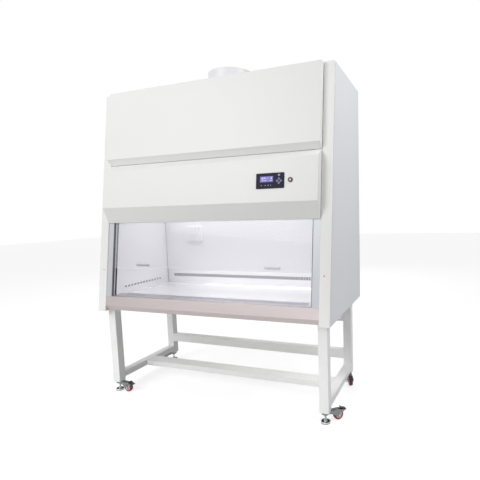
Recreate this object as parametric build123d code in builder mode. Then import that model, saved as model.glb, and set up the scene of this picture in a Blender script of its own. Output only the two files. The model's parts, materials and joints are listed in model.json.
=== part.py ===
from build123d import *
import os
from math import cos, pi, radians, sin, tan

os.makedirs("parts", exist_ok=True)

# Biosafety cabinet on a tube stand. Millimetres, +Z up, +X to the operator's right,
# -Y towards the operator. The origin lies on the floor under the middle of the cabinet.

# ---------------------------------------------------------------- driving dimensions
# Cabinet body
cab_width = 1700
cab_depth = 900
cab_bottom = 615
cab_top = 2140
slant = 8.4                    # lean of the whole front, degrees from upright
skin = 2                       # painted sheet steel
flange = 20                    # folded edges of the painted panels
touch_gap = 0.3                # clearance between neighbours that do not bear on each other
seam = 3                       # open shadow seam between painted panels

# Front pillars
pillar_width = 65
pillar_depth = 46
pillar_wrap = 10

# Stand
leg_size = 60
leg_wall = 2.5
leg_inset = 30                 # cabinet side to the outside of the legs
front_leg_setback = 59         # cabinet front edge to the legs
leg_bottom = 70
end_plate = 6
stand_top = 655
rear_leg_setback = 144         # cabinet back to the rear legs
low_rail_bottom = 93
low_rail_height = 40
cross_rail_depth = 103
cross_rail_setback = 232       # front legs to the low cross rail
mid_rail_bottom = 180
mid_rail_height = 65
mid_rail_depth = 50
high_rail_bottom = 464
high_rail_height = 80
high_rail_depth = 40
top_rail_height = 40

# Castors with levelling feet
stem_radius = 6
stem_length = 118
pad_radius = 30
pad_height = 16
pad_skirt = 7
wheel_radius = 31.5
wheel_width = 26
wheel_clear = 1.5              # wheels just off the floor while the feet carry the cabinet
axle_radius = 4
hub_radius = 9
rim_radius = 21
hub_recess = 5
tread_round = 4
castor_trail = 88
castor_headings = {"front_right": 45, "front_left": -5, "rear_right": -68, "rear_left": 225}
fork_sheet = 3
head_radius = 24
head_height = 16
turning_fit = 0.05
stem_clear = 0.3
pedal_pin_radius = 3

# Work chamber, stainless
chamber_width = 1500
rear_void = 236                # return air space behind the back wall
worktop_level = 715
worktop_rim = 25
worktop_dish = 6
ceiling_level = 1375
chamber_top = 1475
slot_pitch = 20
slot_width = 6
slot_height = 18
slot_level = 778
side_hole_count = 13
side_hole_pitch = 32
side_hole_setback = 23         # worktop front to the first hole
side_hole_radius = 5
side_hole_level = 762
grille_depth = 102
grille_slot_length = 66

# Drain
drain_x = -600
drain_setback = 50             # worktop front to the drain
drain_radius = 11

# Sill (arm rest)
sill_top = 721
sill_face_bottom = 654
sill_bottom = 624
sill_tuck = 15
sill_reach = 48                # pillar foot to the back of the sill

# Window
sash_opening = 200
glass_thickness = 6
glass_front = -15              # out of the pillar plane, negative is behind it
glass_height = 560
sash_up = 220
channel_reach = 45
channel_front = -4
channel_top = 1110
glass_bite = 22                # glass edge held inside the channel
glass_clear = 2
handle_width = 100
handle_spread = 966
handle_rise = 15
handle_height = 16
handle_lip = 14
handle_return = 8
handle_sheet = 2.5

# Sash drive
pinion_teeth = 16
module = 2.5
rack_width = 16
rack_back = 4.3
rack_spread = 1400
shaft_radius = 6
shaft_along = 1072
tooth_backlash = 0.5
pressure_angle = 20
rack_spare = 20                # rack left over at each end of the travel
rack_clamp = 40                # overlap with the top of the glass

# Hood of the cabinet front
cover_out = 40
cover_face_bottom = 1065       # along the slope from the pillar foot
cover_heel = 1030
fascia_brow = 1027
fascia_face_top = 979
fascia_out = 62.5
fascia_face_bottom = 720
fascia_heel = 623
fascia_heel_out = 6.5
tuck_out = 2
hood_inset = 3

# Controls
panel_x = 487.5
panel_along = 845
panel_width = 180
panel_height = 92
panel_thickness = 3
key_radius = 5
key_spread = 12
key_travel = 0.5
screen_width = 85
screen_height = 35
switch_x = 615
switch_radius = 14.5
switch_core_radius = 9

# Air side
collar_radius = 157.5
collar_wall = 2.5
neck_radius = 156.5            # below the roof, which the collar stands on
hood_mouth = 330               # square top of the hood, which carries the neck
collar_top = 2270
collar_setback = 369           # cabinet back to the collar's middle
plenum_top = 1625
exhaust_filter_width = 610
exhaust_filter_depth = 260
exhaust_filter_height = 150
hood_top = 2060
filter_rail = 20
blower_x = -530
blower_setback = 380
blower_width = 130
impeller_radius = 112
impeller_width = 96
blade_count = 9
scroll_clear = 14              # impeller to the scroll at its tongue
scroll_growth = 58
scroll_lift = 70
tongue_angle = 60              # below the horizontal

# ---------------------------------------------------------------- derived places
lean = radians(slant)
half = cab_width / 2
cab_front = -cab_depth / 2
cab_back = cab_depth / 2
pillar_inner = half - pillar_width
panel_inside = half - skin
chamber_half = chamber_width / 2
channel_inner = pillar_inner - channel_reach
leg_outer = half - leg_inset
leg_inner = leg_outer - leg_size
leg_x = leg_outer - leg_size / 2
front_leg_y = cab_front + front_leg_setback + leg_size / 2
rear_leg_y = cab_back - rear_leg_setback - leg_size / 2
front_leg_back = front_leg_y + leg_size / 2
rear_leg_front = rear_leg_y - leg_size / 2
cross_rail_front = front_leg_back + cross_rail_setback
chamber_back = cab_back - rear_void
sill_back = cab_front + sill_reach
worktop_front = sill_back + grille_depth
collar_y = cab_back - collar_setback
blower_y = cab_back - blower_setback
drain_y = worktop_front + drain_setback


def front_y(z, out=0):
    """Where the leaning front lies at height z, moved out of its plane by out."""
    return cab_front + (z - cab_bottom) * tan(lean) - out / cos(lean)


def slope_yz(along, out):
    """(y, z) of a point, from its distance up the leaning front and out of its plane."""
    return (
        cab_front + along * sin(lean) - out * cos(lean),
        cab_bottom + along * cos(lean) + out * sin(lean),
    )


def slope_along(z, out=0):
    """Distance up the leaning front of the point at height z."""
    return (z - cab_bottom - out * sin(lean)) / cos(lean)


def lean_band(low, high, front, back):
    """Outline in (y, z) of what follows the lean between two heights and two depths."""
    return [
        (front_y(low, front), low),
        (front_y(low, back), low),
        (front_y(high, back), high),
        (front_y(high, front), high),
    ]


front_plane = Plane(
    origin=(0, cab_front, cab_bottom), x_dir=(1, 0, 0), z_dir=(0, -cos(lean), sin(lean))
)
sill_along = slope_along(sill_top)
glass_along = sill_along + sash_opening


def prism(points, x_start, x_end, mode=Mode.ADD):
    """A closed outline in (y, z), drawn from x_start to x_end."""
    with BuildSketch(Plane.YZ.offset(x_start)) as outline:
        with BuildLine():
            Polyline(*points, close=True)
        make_face()
    extrude(outline.sketch, amount=x_end - x_start, mode=mode)


def folded(points, x_start, x_end, thickness=skin, side=Side.LEFT):
    """Sheet folded along an open line in (y, z), drawn from x_start to x_end."""
    with BuildSketch(Plane.YZ.offset(x_start)) as section:
        with BuildLine():
            Polyline(*points)
            offset(amount=thickness, side=side)
        make_face()
    extrude(section.sketch, amount=x_end - x_start)


def block(x_range, y_range, z_range, mode=Mode.ADD):
    """A box between two limits along each axis."""
    with BuildSketch(Plane.XY.offset(z_range[0])) as footprint:
        with Locations((sum(x_range) / 2, sum(y_range) / 2)):
            Rectangle(x_range[1] - x_range[0], y_range[1] - y_range[0])
    extrude(footprint.sketch, amount=z_range[1] - z_range[0], mode=mode)


def slab(x_range, along_range, out_range, mode=Mode.ADD):
    """A box lying square to the leaning front."""
    with BuildSketch(front_plane.offset(out_range[0])) as footprint:
        with Locations((sum(x_range) / 2, sum(along_range) / 2)):
            Rectangle(x_range[1] - x_range[0], along_range[1] - along_range[0])
    extrude(footprint.sketch, amount=out_range[1] - out_range[0], mode=mode)


def save(shape, name):
    shape.label = name
    export_step(shape, f"parts/{name}.step")


# ---------------------------------------------------------------- painted shell
side_front = -pillar_wrap - seam
side_outline = [
    (front_y(cab_bottom, side_front), cab_bottom),
    (cab_back, cab_bottom),
    (cab_back, cab_top),
    (front_y(cab_top, side_front), cab_top),
]
side_flange_outline = lean_band(cab_bottom, cab_top - skin, side_front, side_front - skin)

with BuildPart() as side_panel_right:
    prism(side_outline, panel_inside, half)
    prism(side_flange_outline, pillar_inner + skin, panel_inside)
    rear_flange_z = (cab_bottom, cab_top - skin)
    block((panel_inside - flange, panel_inside), (cab_back - skin, cab_back), rear_flange_z)
    bottom_edge_y = (front_y(cab_bottom, side_front - skin), cab_back)
    block((panel_inside - flange, panel_inside), bottom_edge_y, (cab_bottom, cab_bottom + skin))
    top_edge_y = (front_y(cab_top, side_front - skin), cab_back)
    block((panel_inside - flange, panel_inside), top_edge_y, (cab_top - 2 * skin, cab_top - skin))
with BuildPart() as side_panels:
    add(side_panel_right.part)
    mirror(side_panel_right.part, about=Plane.YZ)
save(side_panels.part, "side_panels")


with BuildPart() as pillar_right:
    pillar_z = (cab_bottom, cab_top - skin)
    prism(lean_band(*pillar_z, 0, -pillar_depth), pillar_inner, half)
    prism(lean_band(*pillar_z, -skin, -pillar_depth), pillar_inner + skin, half - skin, Mode.SUBTRACT)
    prism(lean_band(*pillar_z, -pillar_wrap, -pillar_depth), half - skin, half, Mode.SUBTRACT)
with BuildPart() as front_pillars:
    add(pillar_right.part)
    mirror(pillar_right.part, about=Plane.YZ)
save(front_pillars.part, "front_pillars")

vent_rows = 6
vent_pitch = 18
vent_length = 90
vent_height = 5
vent_level = 1980
vent_x = 560
with BuildPart() as rear_panel:
    rear_x = panel_inside - touch_gap
    rear_z = (cab_bottom + 2 * skin, cab_top - 3 * skin)
    block((-rear_x, rear_x), (cab_back - 2 * skin, cab_back - skin), rear_z)
    with BuildSketch(Plane.XZ.offset(-cab_back)):
        for side in (-1, 1):
            with Locations((side * vent_x, vent_level)):
                with GridLocations(1, vent_pitch, 1, vent_rows):
                    SlotOverall(vent_length, vent_height)
    extrude(amount=3 * skin, mode=Mode.SUBTRACT)
save(rear_panel.part, "rear_panel")

# The cover's hinges lie along the front edge of the top panel.
hinge_out = -8
hinge_drop = 9
hinge_radius = 5
hinge_pin_radius = 2
hinge_knuckle = 24
hinge_spread = 520
hinge_y = front_y(cab_top - hinge_drop, hinge_out)
hinge_z = cab_top - hinge_drop
hinge_yz = (hinge_y, hinge_z)
top_front = front_y(cab_top, -18)
hinge_stations = (-hinge_spread, 0, hinge_spread)


def rod(yz, radius, x_start, length, mode=Mode.ADD):
    """A round bar along X from x_start."""
    with BuildSketch(Plane.YZ.offset(x_start)) as section:
        with Locations(yz):
            Circle(radius)
    extrude(section.sketch, amount=length, mode=mode)


with BuildPart() as top_panel:
    block((-panel_inside, panel_inside), (top_front, cab_back), (cab_top - skin, cab_top))
    for side in (-1, 1):
        corner_x = sorted((side * pillar_inner, side * panel_inside))
        block(corner_x, (front_y(cab_top), top_front), (cab_top - skin, cab_top))
    block((-pillar_inner + seam, pillar_inner - seam), (top_front, top_front + skin),
          (cab_top - flange, cab_top))
    for station in hinge_stations:
        for side in (-1, 1):
            knuckle_x = station + side * hinge_knuckle
            block((knuckle_x - hinge_knuckle / 2, knuckle_x + hinge_knuckle / 2),
                  (hinge_y, top_front), (hinge_z, hinge_z + hinge_radius))
            rod(hinge_yz, hinge_radius, knuckle_x - hinge_knuckle / 2, hinge_knuckle)
            rod(hinge_yz, hinge_pin_radius + turning_fit, knuckle_x - hinge_knuckle / 2, hinge_knuckle,
                Mode.SUBTRACT)
    with BuildSketch(Plane.XY.offset(cab_top - skin)):
        with Locations((0, collar_y)):
            Circle(neck_radius + touch_gap)
    extrude(amount=skin, mode=Mode.SUBTRACT)
save(top_panel.part, "top_panel")

# Hinged cover over the blower space.
cover_x = pillar_inner - hood_inset
cover_path = [
    (front_y(cab_top - skin, 0), cab_top - skin),
    (front_y(cab_top - skin, cover_out), cab_top - skin),
    slope_yz(cover_face_bottom, cover_out),
    slope_yz(cover_heel, tuck_out),
]
cover_cap = [
    (front_y(cab_top, channel_front), cab_top),
    (front_y(cab_top, cover_out), cab_top),
    slope_yz(cover_face_bottom, cover_out),
    slope_yz(cover_heel, tuck_out),
    slope_yz(cover_heel, channel_front),
]
with BuildPart() as top_cover:
    prism(cover_cap, -cover_x, cover_x)
    cover_hollow = [
        (front_y(cab_top - skin, channel_front), cab_top - skin),
        (front_y(cab_top - skin, cover_out - skin), cab_top - skin),
        slope_yz(cover_face_bottom + skin / 2, cover_out - skin),
        slope_yz(cover_heel + skin, tuck_out - 0.2),
        slope_yz(cover_heel + skin, channel_front),
    ]
    prism(cover_hollow, -cover_x + skin, cover_x - skin, Mode.SUBTRACT)
    for station in hinge_stations:
        block((station - hinge_knuckle / 2 + touch_gap, station + hinge_knuckle / 2 - touch_gap),
              (front_y(cab_top, 4), hinge_y), (hinge_z, hinge_z + hinge_radius))
        block((station - hinge_knuckle / 2 + touch_gap, station + hinge_knuckle / 2 - touch_gap),
              (front_y(cab_top, 4), front_y(cab_top, 4) + skin), (hinge_z, cab_top - skin))
        rod(hinge_yz, hinge_radius, station - hinge_knuckle / 2 + touch_gap,
            hinge_knuckle - 2 * touch_gap)
        rod(hinge_yz, hinge_pin_radius, station - 1.5 * hinge_knuckle, 3 * hinge_knuckle)
save(top_cover.part, "top_cover")

# Fascia with the controls.
with BuildPart() as fascia_shell:
    fascia_cap = [
        slope_yz(fascia_brow, channel_front),
        slope_yz(fascia_brow, tuck_out),
        slope_yz(fascia_face_top, fascia_out),
        slope_yz(fascia_face_bottom, fascia_out),
        slope_yz(fascia_heel, fascia_heel_out),
        slope_yz(fascia_heel, channel_front),
    ]
    fascia_hollow = [
        slope_yz(fascia_brow - skin, channel_front),
        slope_yz(fascia_brow - skin, tuck_out - skin),
        slope_yz(fascia_face_top - skin / 2, fascia_out - skin),
        slope_yz(fascia_face_bottom + skin / 2, fascia_out - skin),
        slope_yz(fascia_heel + skin, fascia_heel_out - skin / 2),
        slope_yz(fascia_heel + skin, channel_front),
    ]
    prism(fascia_cap, -cover_x, cover_x)
    prism(fascia_hollow, -cover_x + skin, cover_x - skin, Mode.SUBTRACT)
    with BuildSketch(front_plane.offset(fascia_out)):
        with Locations((switch_x, panel_along)):
            Circle(switch_core_radius + 2)
    extrude(amount=-2 * skin, mode=Mode.SUBTRACT)
save(fascia_shell.part, "fascia_shell")

# ---------------------------------------------------------------- exhaust side
filter_base = plenum_top
filter_top = filter_base + exhaust_filter_height
with BuildPart() as exhaust_duct:
    for inset, mode in ((0, Mode.ADD), (skin, Mode.SUBTRACT)):
        with BuildSketch(Plane.XY.offset(filter_top)):
            with Locations((0, collar_y)):
                Rectangle(exhaust_filter_width - 2 * inset, exhaust_filter_depth - 2 * inset)
        with BuildSketch(Plane.XY.offset(hood_top - inset)):
            with Locations((0, collar_y)):
                Rectangle(hood_mouth - 2 * inset, hood_mouth - 2 * inset)
        loft(mode=mode)
    with BuildSketch(Plane.XY.offset(hood_top)):
        with Locations((0, collar_y)):
            Circle(neck_radius)
    extrude(amount=cab_top - hood_top)
    with BuildSketch(Plane.XY.offset(cab_top)):
        with Locations((0, collar_y)):
            Circle(collar_radius)
    extrude(amount=collar_top - cab_top)
    with BuildSketch(Plane.XY.offset(hood_top - skin)):
        with Locations((0, collar_y)):
            Circle(collar_radius - collar_wall)
    extrude(amount=collar_top - hood_top + skin, mode=Mode.SUBTRACT)
save(exhaust_duct.part, "exhaust_duct")


def filter_pack(centre, width, depth, base, height, pleats):
    """A cased filter: a tray frame round a pack of pleats that run front to back."""
    with BuildSketch(Plane.XY.offset(base)) as frame:
        with Locations(centre):
            Rectangle(width, depth)
            Rectangle(width - 2 * filter_rail, depth - 2 * filter_rail, mode=Mode.SUBTRACT)
    extrude(frame.sketch, amount=height)
    pitch = (width - 2 * filter_rail) / pleats
    left = centre[0] - width / 2 + filter_rail
    low = base + 0.15 * height
    high = base + 0.85 * height
    web = 0.12 * height
    ridge = [(left + i * pitch / 2, high if i % 2 else low) for i in range(2 * pleats + 1)]
    lower = [(x, z - web) for x, z in reversed(ridge)]
    with BuildSketch(Plane.XZ.offset(-centre[1] - depth / 2 + filter_rail)) as media:
        with BuildLine():
            Polyline(*ridge, *lower, close=True)
        make_face()
    extrude(media.sketch, amount=depth - 2 * filter_rail)


supply_front = front_y(chamber_top, -50)
diffuser_lip = 25
diffuser_pitch = 90
diffuser_hole = 66
with BuildPart() as hepa_filters:
    supply_depth = chamber_back - supply_front - 2 * skin
    filter_pack((0, chamber_back - skin - supply_depth / 2), chamber_width - 2 * skin,
                supply_depth, ceiling_level + diffuser_lip,
                chamber_top - ceiling_level - diffuser_lip, 40)
    filter_pack((0, collar_y), exhaust_filter_width, exhaust_filter_depth, filter_base,
                exhaust_filter_height, 16)
save(hepa_filters.part, "hepa_filters")

scroll_z = plenum_top + impeller_radius + scroll_lift
tongue_x = blower_x + (impeller_radius + scroll_clear) * cos(radians(tongue_angle))
throat_x = blower_x + impeller_radius + scroll_clear + scroll_growth
blower_throat = (tongue_x, throat_x)
plenum_outer = chamber_half + skin
plenum_back = chamber_back + skin
with BuildPart() as plenum_box:
    plenum_front_low = front_y(chamber_top, -50)
    plenum_front_high = front_y(plenum_top, -50)
    prism([(plenum_front_low, chamber_top), (plenum_back, chamber_top),
           (plenum_back, plenum_top), (plenum_front_high, plenum_top)],
          -plenum_outer, plenum_outer)
    prism([(plenum_front_low + skin, chamber_top), (plenum_back - skin, chamber_top),
           (plenum_back - skin, plenum_top - skin), (plenum_front_high + skin, plenum_top - skin)],
          -plenum_outer + skin, plenum_outer - skin, Mode.SUBTRACT)
    with BuildSketch(Plane.XY.offset(plenum_top - skin)):
        with Locations((0, collar_y)):
            Rectangle(exhaust_filter_width - 2 * filter_rail, exhaust_filter_depth - 2 * filter_rail)
        with Locations(((blower_throat[0] + blower_throat[1]) / 2, blower_y)):
            Rectangle(blower_throat[1] - blower_throat[0] - 2 * skin, blower_width - 2 * skin)
    extrude(amount=skin, mode=Mode.SUBTRACT)
save(plenum_box.part, "plenum_box")

# Scroll blower that stands on the plenum, its shaft front to back.


def scroll(inset, y_start, length, mode=Mode.ADD):
    """A spiral that grows from the tongue, round over the top, to a throat down to the plenum."""
    steps = 10
    spiral = []
    for i in range(steps + 1):
        turn = radians(-tongue_angle - (360 - tongue_angle) * i / steps)
        reach = impeller_radius + scroll_clear + scroll_growth * i / steps - inset
        spiral.append((blower_x + reach * cos(turn), scroll_z + reach * sin(turn)))
    with BuildSketch(Plane.XZ.offset(-y_start)) as outline:
        with BuildLine():
            Spline(*spiral)
            Polyline(spiral[-1], (throat_x - inset, plenum_top), (tongue_x + inset, plenum_top),
                     spiral[0])
        make_face()
    extrude(outline.sketch, amount=-length, mode=mode)


scroll_front = blower_y - blower_width / 2
with BuildPart() as blower_housing:
    scroll(0, scroll_front, blower_width)
    scroll(skin, scroll_front + skin, blower_width - 2 * skin, Mode.SUBTRACT)
    with BuildSketch(Plane.XZ.offset(-scroll_front)):
        with Locations((blower_x, scroll_z)):
            Circle(impeller_radius * 0.72)
    extrude(amount=-skin, mode=Mode.SUBTRACT)
    with BuildSketch(Plane.XZ.offset(-scroll_front - blower_width)):
        with Locations((blower_x, scroll_z)):
            Circle(30)
    extrude(amount=skin, mode=Mode.SUBTRACT)
save(blower_housing.part, "blower_housing")

motor_radius = 62
motor_length = 120
motor_face = scroll_front + blower_width
motor_shaft = 8
with BuildPart() as blower_motor:
    with BuildSketch(Plane.XZ.offset(-motor_face)):
        with Locations((blower_x, scroll_z)):
            Circle(motor_radius)
    extrude(amount=-motor_length)
    with BuildSketch(Plane.XZ.offset(-motor_face - 0.25 * motor_length)):
        with Locations((blower_x, scroll_z)):
            with PolarLocations(motor_radius, 12):
                Rectangle(10, 3)
    extrude(amount=-0.55 * motor_length)
    with BuildSketch(Plane.XZ.offset(-motor_face)):
        with Locations((blower_x, scroll_z)):
            Circle(motor_shaft + turning_fit)
    extrude(amount=-0.4 * motor_length, mode=Mode.SUBTRACT)
save(blower_motor.part, "blower_motor")

impeller_front = scroll_front + (blower_width - impeller_width) / 2
with BuildPart() as blower_impeller:
    with BuildSketch(Plane.XZ.offset(-impeller_front - impeller_width)):
        with Locations((blower_x, scroll_z)):
            Circle(impeller_radius)
    extrude(amount=3)
    with BuildSketch(Plane.XZ.offset(-impeller_front - 3)):
        with Locations((blower_x, scroll_z)):
            Circle(impeller_radius)
            Circle(impeller_radius * 0.68, mode=Mode.SUBTRACT)
    extrude(amount=3)
    with BuildSketch(Plane.XZ.offset(-impeller_front - impeller_width)):
        with Locations((blower_x, scroll_z)):
            with PolarLocations(impeller_radius * 0.79, blade_count):
                Rectangle(impeller_radius * 0.44, 3, rotation=52)
    extrude(amount=impeller_width)
    with BuildSketch(Plane.XZ.offset(-impeller_front - impeller_width)):
        with Locations((blower_x, scroll_z)):
            Circle(22)
    extrude(amount=impeller_width * 0.45)
    with BuildSketch(Plane.XZ.offset(-motor_face - 0.35 * motor_length)):
        with Locations((blower_x, scroll_z)):
            Circle(motor_shaft)
    extrude(amount=motor_face + 0.35 * motor_length - impeller_front - impeller_width)
save(blower_impeller.part, "blower_impeller")

# ---------------------------------------------------------------- work chamber
rib_height = worktop_level - worktop_rim - stand_top - skin
pan_floor = stand_top + skin
pan_front = front_y(stand_top, -skin) + 16
with BuildPart() as base_pan:
    pan_rear = cab_back - 2 * skin
    pan_shoulder = front_y(pan_floor, -pillar_depth)
    block((-pillar_inner, pillar_inner), (pan_front, pan_shoulder), (stand_top, pan_floor))
    block((-panel_inside, panel_inside), (pan_shoulder, pan_rear), (stand_top, pan_floor))
    for side in (-1, 1):
        edge = sorted((side * panel_inside, side * (panel_inside - skin)))
        block(edge, (pan_shoulder, pan_rear), (pan_floor, pan_floor + flange))
    block((-panel_inside, panel_inside), (pan_rear - skin, pan_rear), (pan_floor, pan_floor + flange))
    for rib_y in (worktop_front + 20, chamber_back - 40):
        block((-chamber_half + 40, chamber_half - 40), (rib_y, rib_y + 20),
              (pan_floor, pan_floor + rib_height))
    with BuildSketch(Plane.XY.offset(stand_top)):
        with Locations((drain_x, drain_y)):
            Circle(drain_radius)
    extrude(amount=skin, mode=Mode.SUBTRACT)
save(base_pan.part, "base_pan")

with BuildPart() as back_wall:
    block((-chamber_half, chamber_half), (chamber_back, chamber_back + skin), (pan_floor, chamber_top))
    slot_count = int((chamber_width - 6 * slot_pitch) / slot_pitch)
    with BuildSketch(Plane.XZ.offset(-chamber_back - skin)):
        with Locations((0, slot_level)):
            with GridLocations(slot_pitch, 1, slot_count, 1):
                Rectangle(slot_width, slot_height)
    extrude(amount=skin, mode=Mode.SUBTRACT)
save(back_wall.part, "back_wall")

with BuildPart() as inner_wall_right:
    prism([(front_y(pan_floor, -pillar_depth), pan_floor), (plenum_back, pan_floor),
           (plenum_back, chamber_top), (front_y(chamber_top, -pillar_depth), chamber_top)],
          chamber_half, chamber_half + skin)
    with BuildSketch(Plane.YZ.offset(chamber_half)):
        for i in range(side_hole_count):
            with Locations((worktop_front + side_hole_setback + i * side_hole_pitch, side_hole_level)):
                RegularPolygon(side_hole_radius, 8)
    extrude(amount=skin, mode=Mode.SUBTRACT)
with BuildPart() as inner_side_walls:
    add(inner_wall_right.part)
    mirror(inner_wall_right.part, about=Plane.YZ)
save(inner_side_walls.part, "inner_side_walls")

with BuildPart() as worktop:
    worktop_x = chamber_half - 1
    worktop_y = (worktop_front, chamber_back - 1)
    block((-worktop_x, worktop_x), worktop_y, (worktop_level - worktop_rim, worktop_level))
    block((-worktop_x + skin, worktop_x - skin), (worktop_y[0] + skin, worktop_y[1] - skin),
          (worktop_level - worktop_rim, worktop_level - worktop_dish - skin), Mode.SUBTRACT)
    rim = 24
    block((-worktop_x + rim, worktop_x - rim), (worktop_y[0] + rim, worktop_y[1] - rim),
          (worktop_level - worktop_dish, worktop_level), Mode.SUBTRACT)
save(worktop.part, "worktop")

with BuildPart() as front_grille:
    grille_x = chamber_half - 1
    grille_y = (sill_back, worktop_front)
    block((-grille_x, grille_x), grille_y, (sill_top - skin, sill_top))
    block((-grille_x, grille_x), (grille_y[1] - skin, grille_y[1]), (pan_floor, sill_top - skin))
    with BuildSketch(Plane.XY.offset(sill_top - skin)):
        with Locations((0, sum(grille_y) / 2)):
            with GridLocations(slot_pitch, 1, slot_count, 1):
                Rectangle(slot_width, grille_slot_length)
    extrude(amount=skin, mode=Mode.SUBTRACT)
save(front_grille.part, "front_grille")

with BuildPart() as sill:
    hem_back = front_y(sill_bottom, -sill_tuck) + 22
    folded([(sill_back, pan_floor), (sill_back, sill_top), (front_y(sill_top), sill_top),
            (front_y(sill_face_bottom), sill_face_bottom),
            (front_y(sill_bottom, -sill_tuck), sill_bottom), (hem_back, sill_bottom)],
           -pillar_inner, pillar_inner, side=Side.RIGHT)
save(sill.part, "sill")

with BuildPart() as ceiling_diffuser:
    ceiling_front = front_y(ceiling_level, -50)
    block((-chamber_half, chamber_half), (ceiling_front, chamber_back),
          (ceiling_level, ceiling_level + diffuser_lip))
    block((-chamber_half + skin, chamber_half - skin), (ceiling_front + skin, chamber_back - skin),
          (ceiling_level + skin, ceiling_level + diffuser_lip), Mode.SUBTRACT)
    with BuildSketch(Plane.XY.offset(ceiling_level)):
        with Locations((0, (ceiling_front + chamber_back) / 2)):
            with GridLocations(diffuser_pitch, diffuser_pitch, 16, 5):
                Rectangle(diffuser_hole, diffuser_hole)
    extrude(amount=skin, mode=Mode.SUBTRACT)
save(ceiling_diffuser.part, "ceiling_diffuser")

# Lamps: the white work light under the front of the ceiling, the UV tube on the back wall.
lamp_length = 900
work_tube_radius = 11
uv_level = 1300
uv_radius = 13
lamp_base = 12
tube_gap = 3
with BuildPart() as chamber_lamps:
    tube_z = ceiling_level - lamp_base - tube_gap - work_tube_radius
    block((-lamp_length / 2, lamp_length / 2), (ceiling_front + 14, ceiling_front + 54),
          (ceiling_level - lamp_base, ceiling_level))
    rod((ceiling_front + 34, tube_z), work_tube_radius, -lamp_length / 2 + 20, lamp_length - 40)
    for side in (-1, 1):
        holder_x = side * lamp_length / 2
        block((holder_x - 12, holder_x + 12), (chamber_back - 44, chamber_back),
              (uv_level - 18, uv_level + 18))
        socket_edge = side * (lamp_length / 2 - 14)
        block((socket_edge - 6, socket_edge + 6), (ceiling_front + 20, ceiling_front + 48),
              (tube_z - work_tube_radius - tube_gap, ceiling_level - lamp_base))
    rod((chamber_back - 26, uv_level), uv_radius, -lamp_length / 2, lamp_length)
save(chamber_lamps.part, "chamber_lamps")

# Splash-proof socket on the back wall, with a lid hinged along its top.
socket_x = -457
socket_z = 1122
socket_width = 144
socket_height = 122
socket_depth = 34
lid_thickness = 16
lid_barrel = 5
lid_pin_radius = 1.5
with BuildPart() as socket_box:
    block((socket_x - socket_width / 2, socket_x + socket_width / 2),
          (chamber_back - socket_depth, chamber_back),
          (socket_z - socket_height / 2, socket_z + socket_height / 2))
    socket_edges = socket_box.edges().filter_by(Axis.Y)
    fillet(socket_edges, 8)
    with BuildSketch(Plane.XZ.offset(-chamber_back + socket_depth)):
        with Locations((socket_x, socket_z - 10)):
            Circle(24)
    extrude(amount=-16, mode=Mode.SUBTRACT)
    hinge_top = socket_z + socket_height / 2 - 8
    for side in (-1, 1):
        ear_x = socket_x + side * 50
        block((ear_x - 4, ear_x + 4),
              (chamber_back - socket_depth - lid_thickness / 2 - 3, chamber_back - socket_depth),
              (hinge_top - 4, hinge_top + 4))
    lid_pin_y = chamber_back - socket_depth - lid_thickness / 2
    rod((lid_pin_y, hinge_top), lid_pin_radius, socket_x - 54, 108)
save(socket_box.part, "socket_box")

with BuildPart() as socket_lid:
    lid_front = chamber_back - socket_depth - lid_thickness
    block((socket_x - 45, socket_x + 45), (lid_front, chamber_back - socket_depth - touch_gap),
          (socket_z - socket_height / 2 + 10, hinge_top))
    lid_edges = socket_lid.edges().filter_by(Axis.Y)
    fillet(lid_edges, 2.5)
    with BuildSketch(Plane.XZ.offset(-chamber_back + socket_depth + touch_gap)):
        with Locations((socket_x, socket_z - 12)):
            Rectangle(80, 70)
    extrude(amount=lid_thickness - 4, mode=Mode.SUBTRACT)
    rod((lid_pin_y, hinge_top), lid_barrel, socket_x - 45, 90)
    rod((lid_pin_y, hinge_top), lid_pin_radius + turning_fit, socket_x - 54, 108, Mode.SUBTRACT)
save(socket_lid.part, "socket_lid")

# Drain valve under the pan.
with BuildPart() as drain_valve:
    with BuildSketch(Plane.XY.offset(stand_top)):
        with Locations((drain_x, drain_y)):
            Circle(22)
    extrude(amount=-6)
    with BuildSketch(Plane.XY.offset(stand_top - 6)):
        with Locations((drain_x, drain_y)):
            Circle(drain_radius + 3)
    extrude(amount=-14)
    with Locations((drain_x, drain_y, stand_top - 28)):
        Sphere(19)
    with BuildSketch(Plane.XY.offset(stand_top - 40)):
        with Locations((drain_x, drain_y)):
            Circle(drain_radius + 3)
    extrude(amount=-18)
    with BuildSketch(Plane.XZ.offset(-drain_y + 15)):
        with Locations((drain_x, stand_top - 28)):
            Circle(9)
    extrude(amount=12)
    with BuildSketch(Plane.XY.offset(stand_top)):
        with Locations((drain_x, drain_y)):
            Circle(drain_radius)
    extrude(amount=-70, mode=Mode.SUBTRACT)
    with BuildSketch(Plane.XZ.offset(-drain_y + 19)):
        with Locations((drain_x, stand_top - 28)):
            Circle(3.5)
    extrude(amount=16)
save(drain_valve.part, "drain_valve")

with BuildPart() as drain_lever:
    with BuildSketch(Plane.XZ.offset(-drain_y + 28)):
        with Locations((drain_x + 30, stand_top - 28)):
            SlotOverall(80, 14)
        with Locations((drain_x, stand_top - 28)):
            Circle(3.5 + turning_fit, mode=Mode.SUBTRACT)
    extrude(amount=4)
save(drain_lever.part, "drain_lever")

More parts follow.
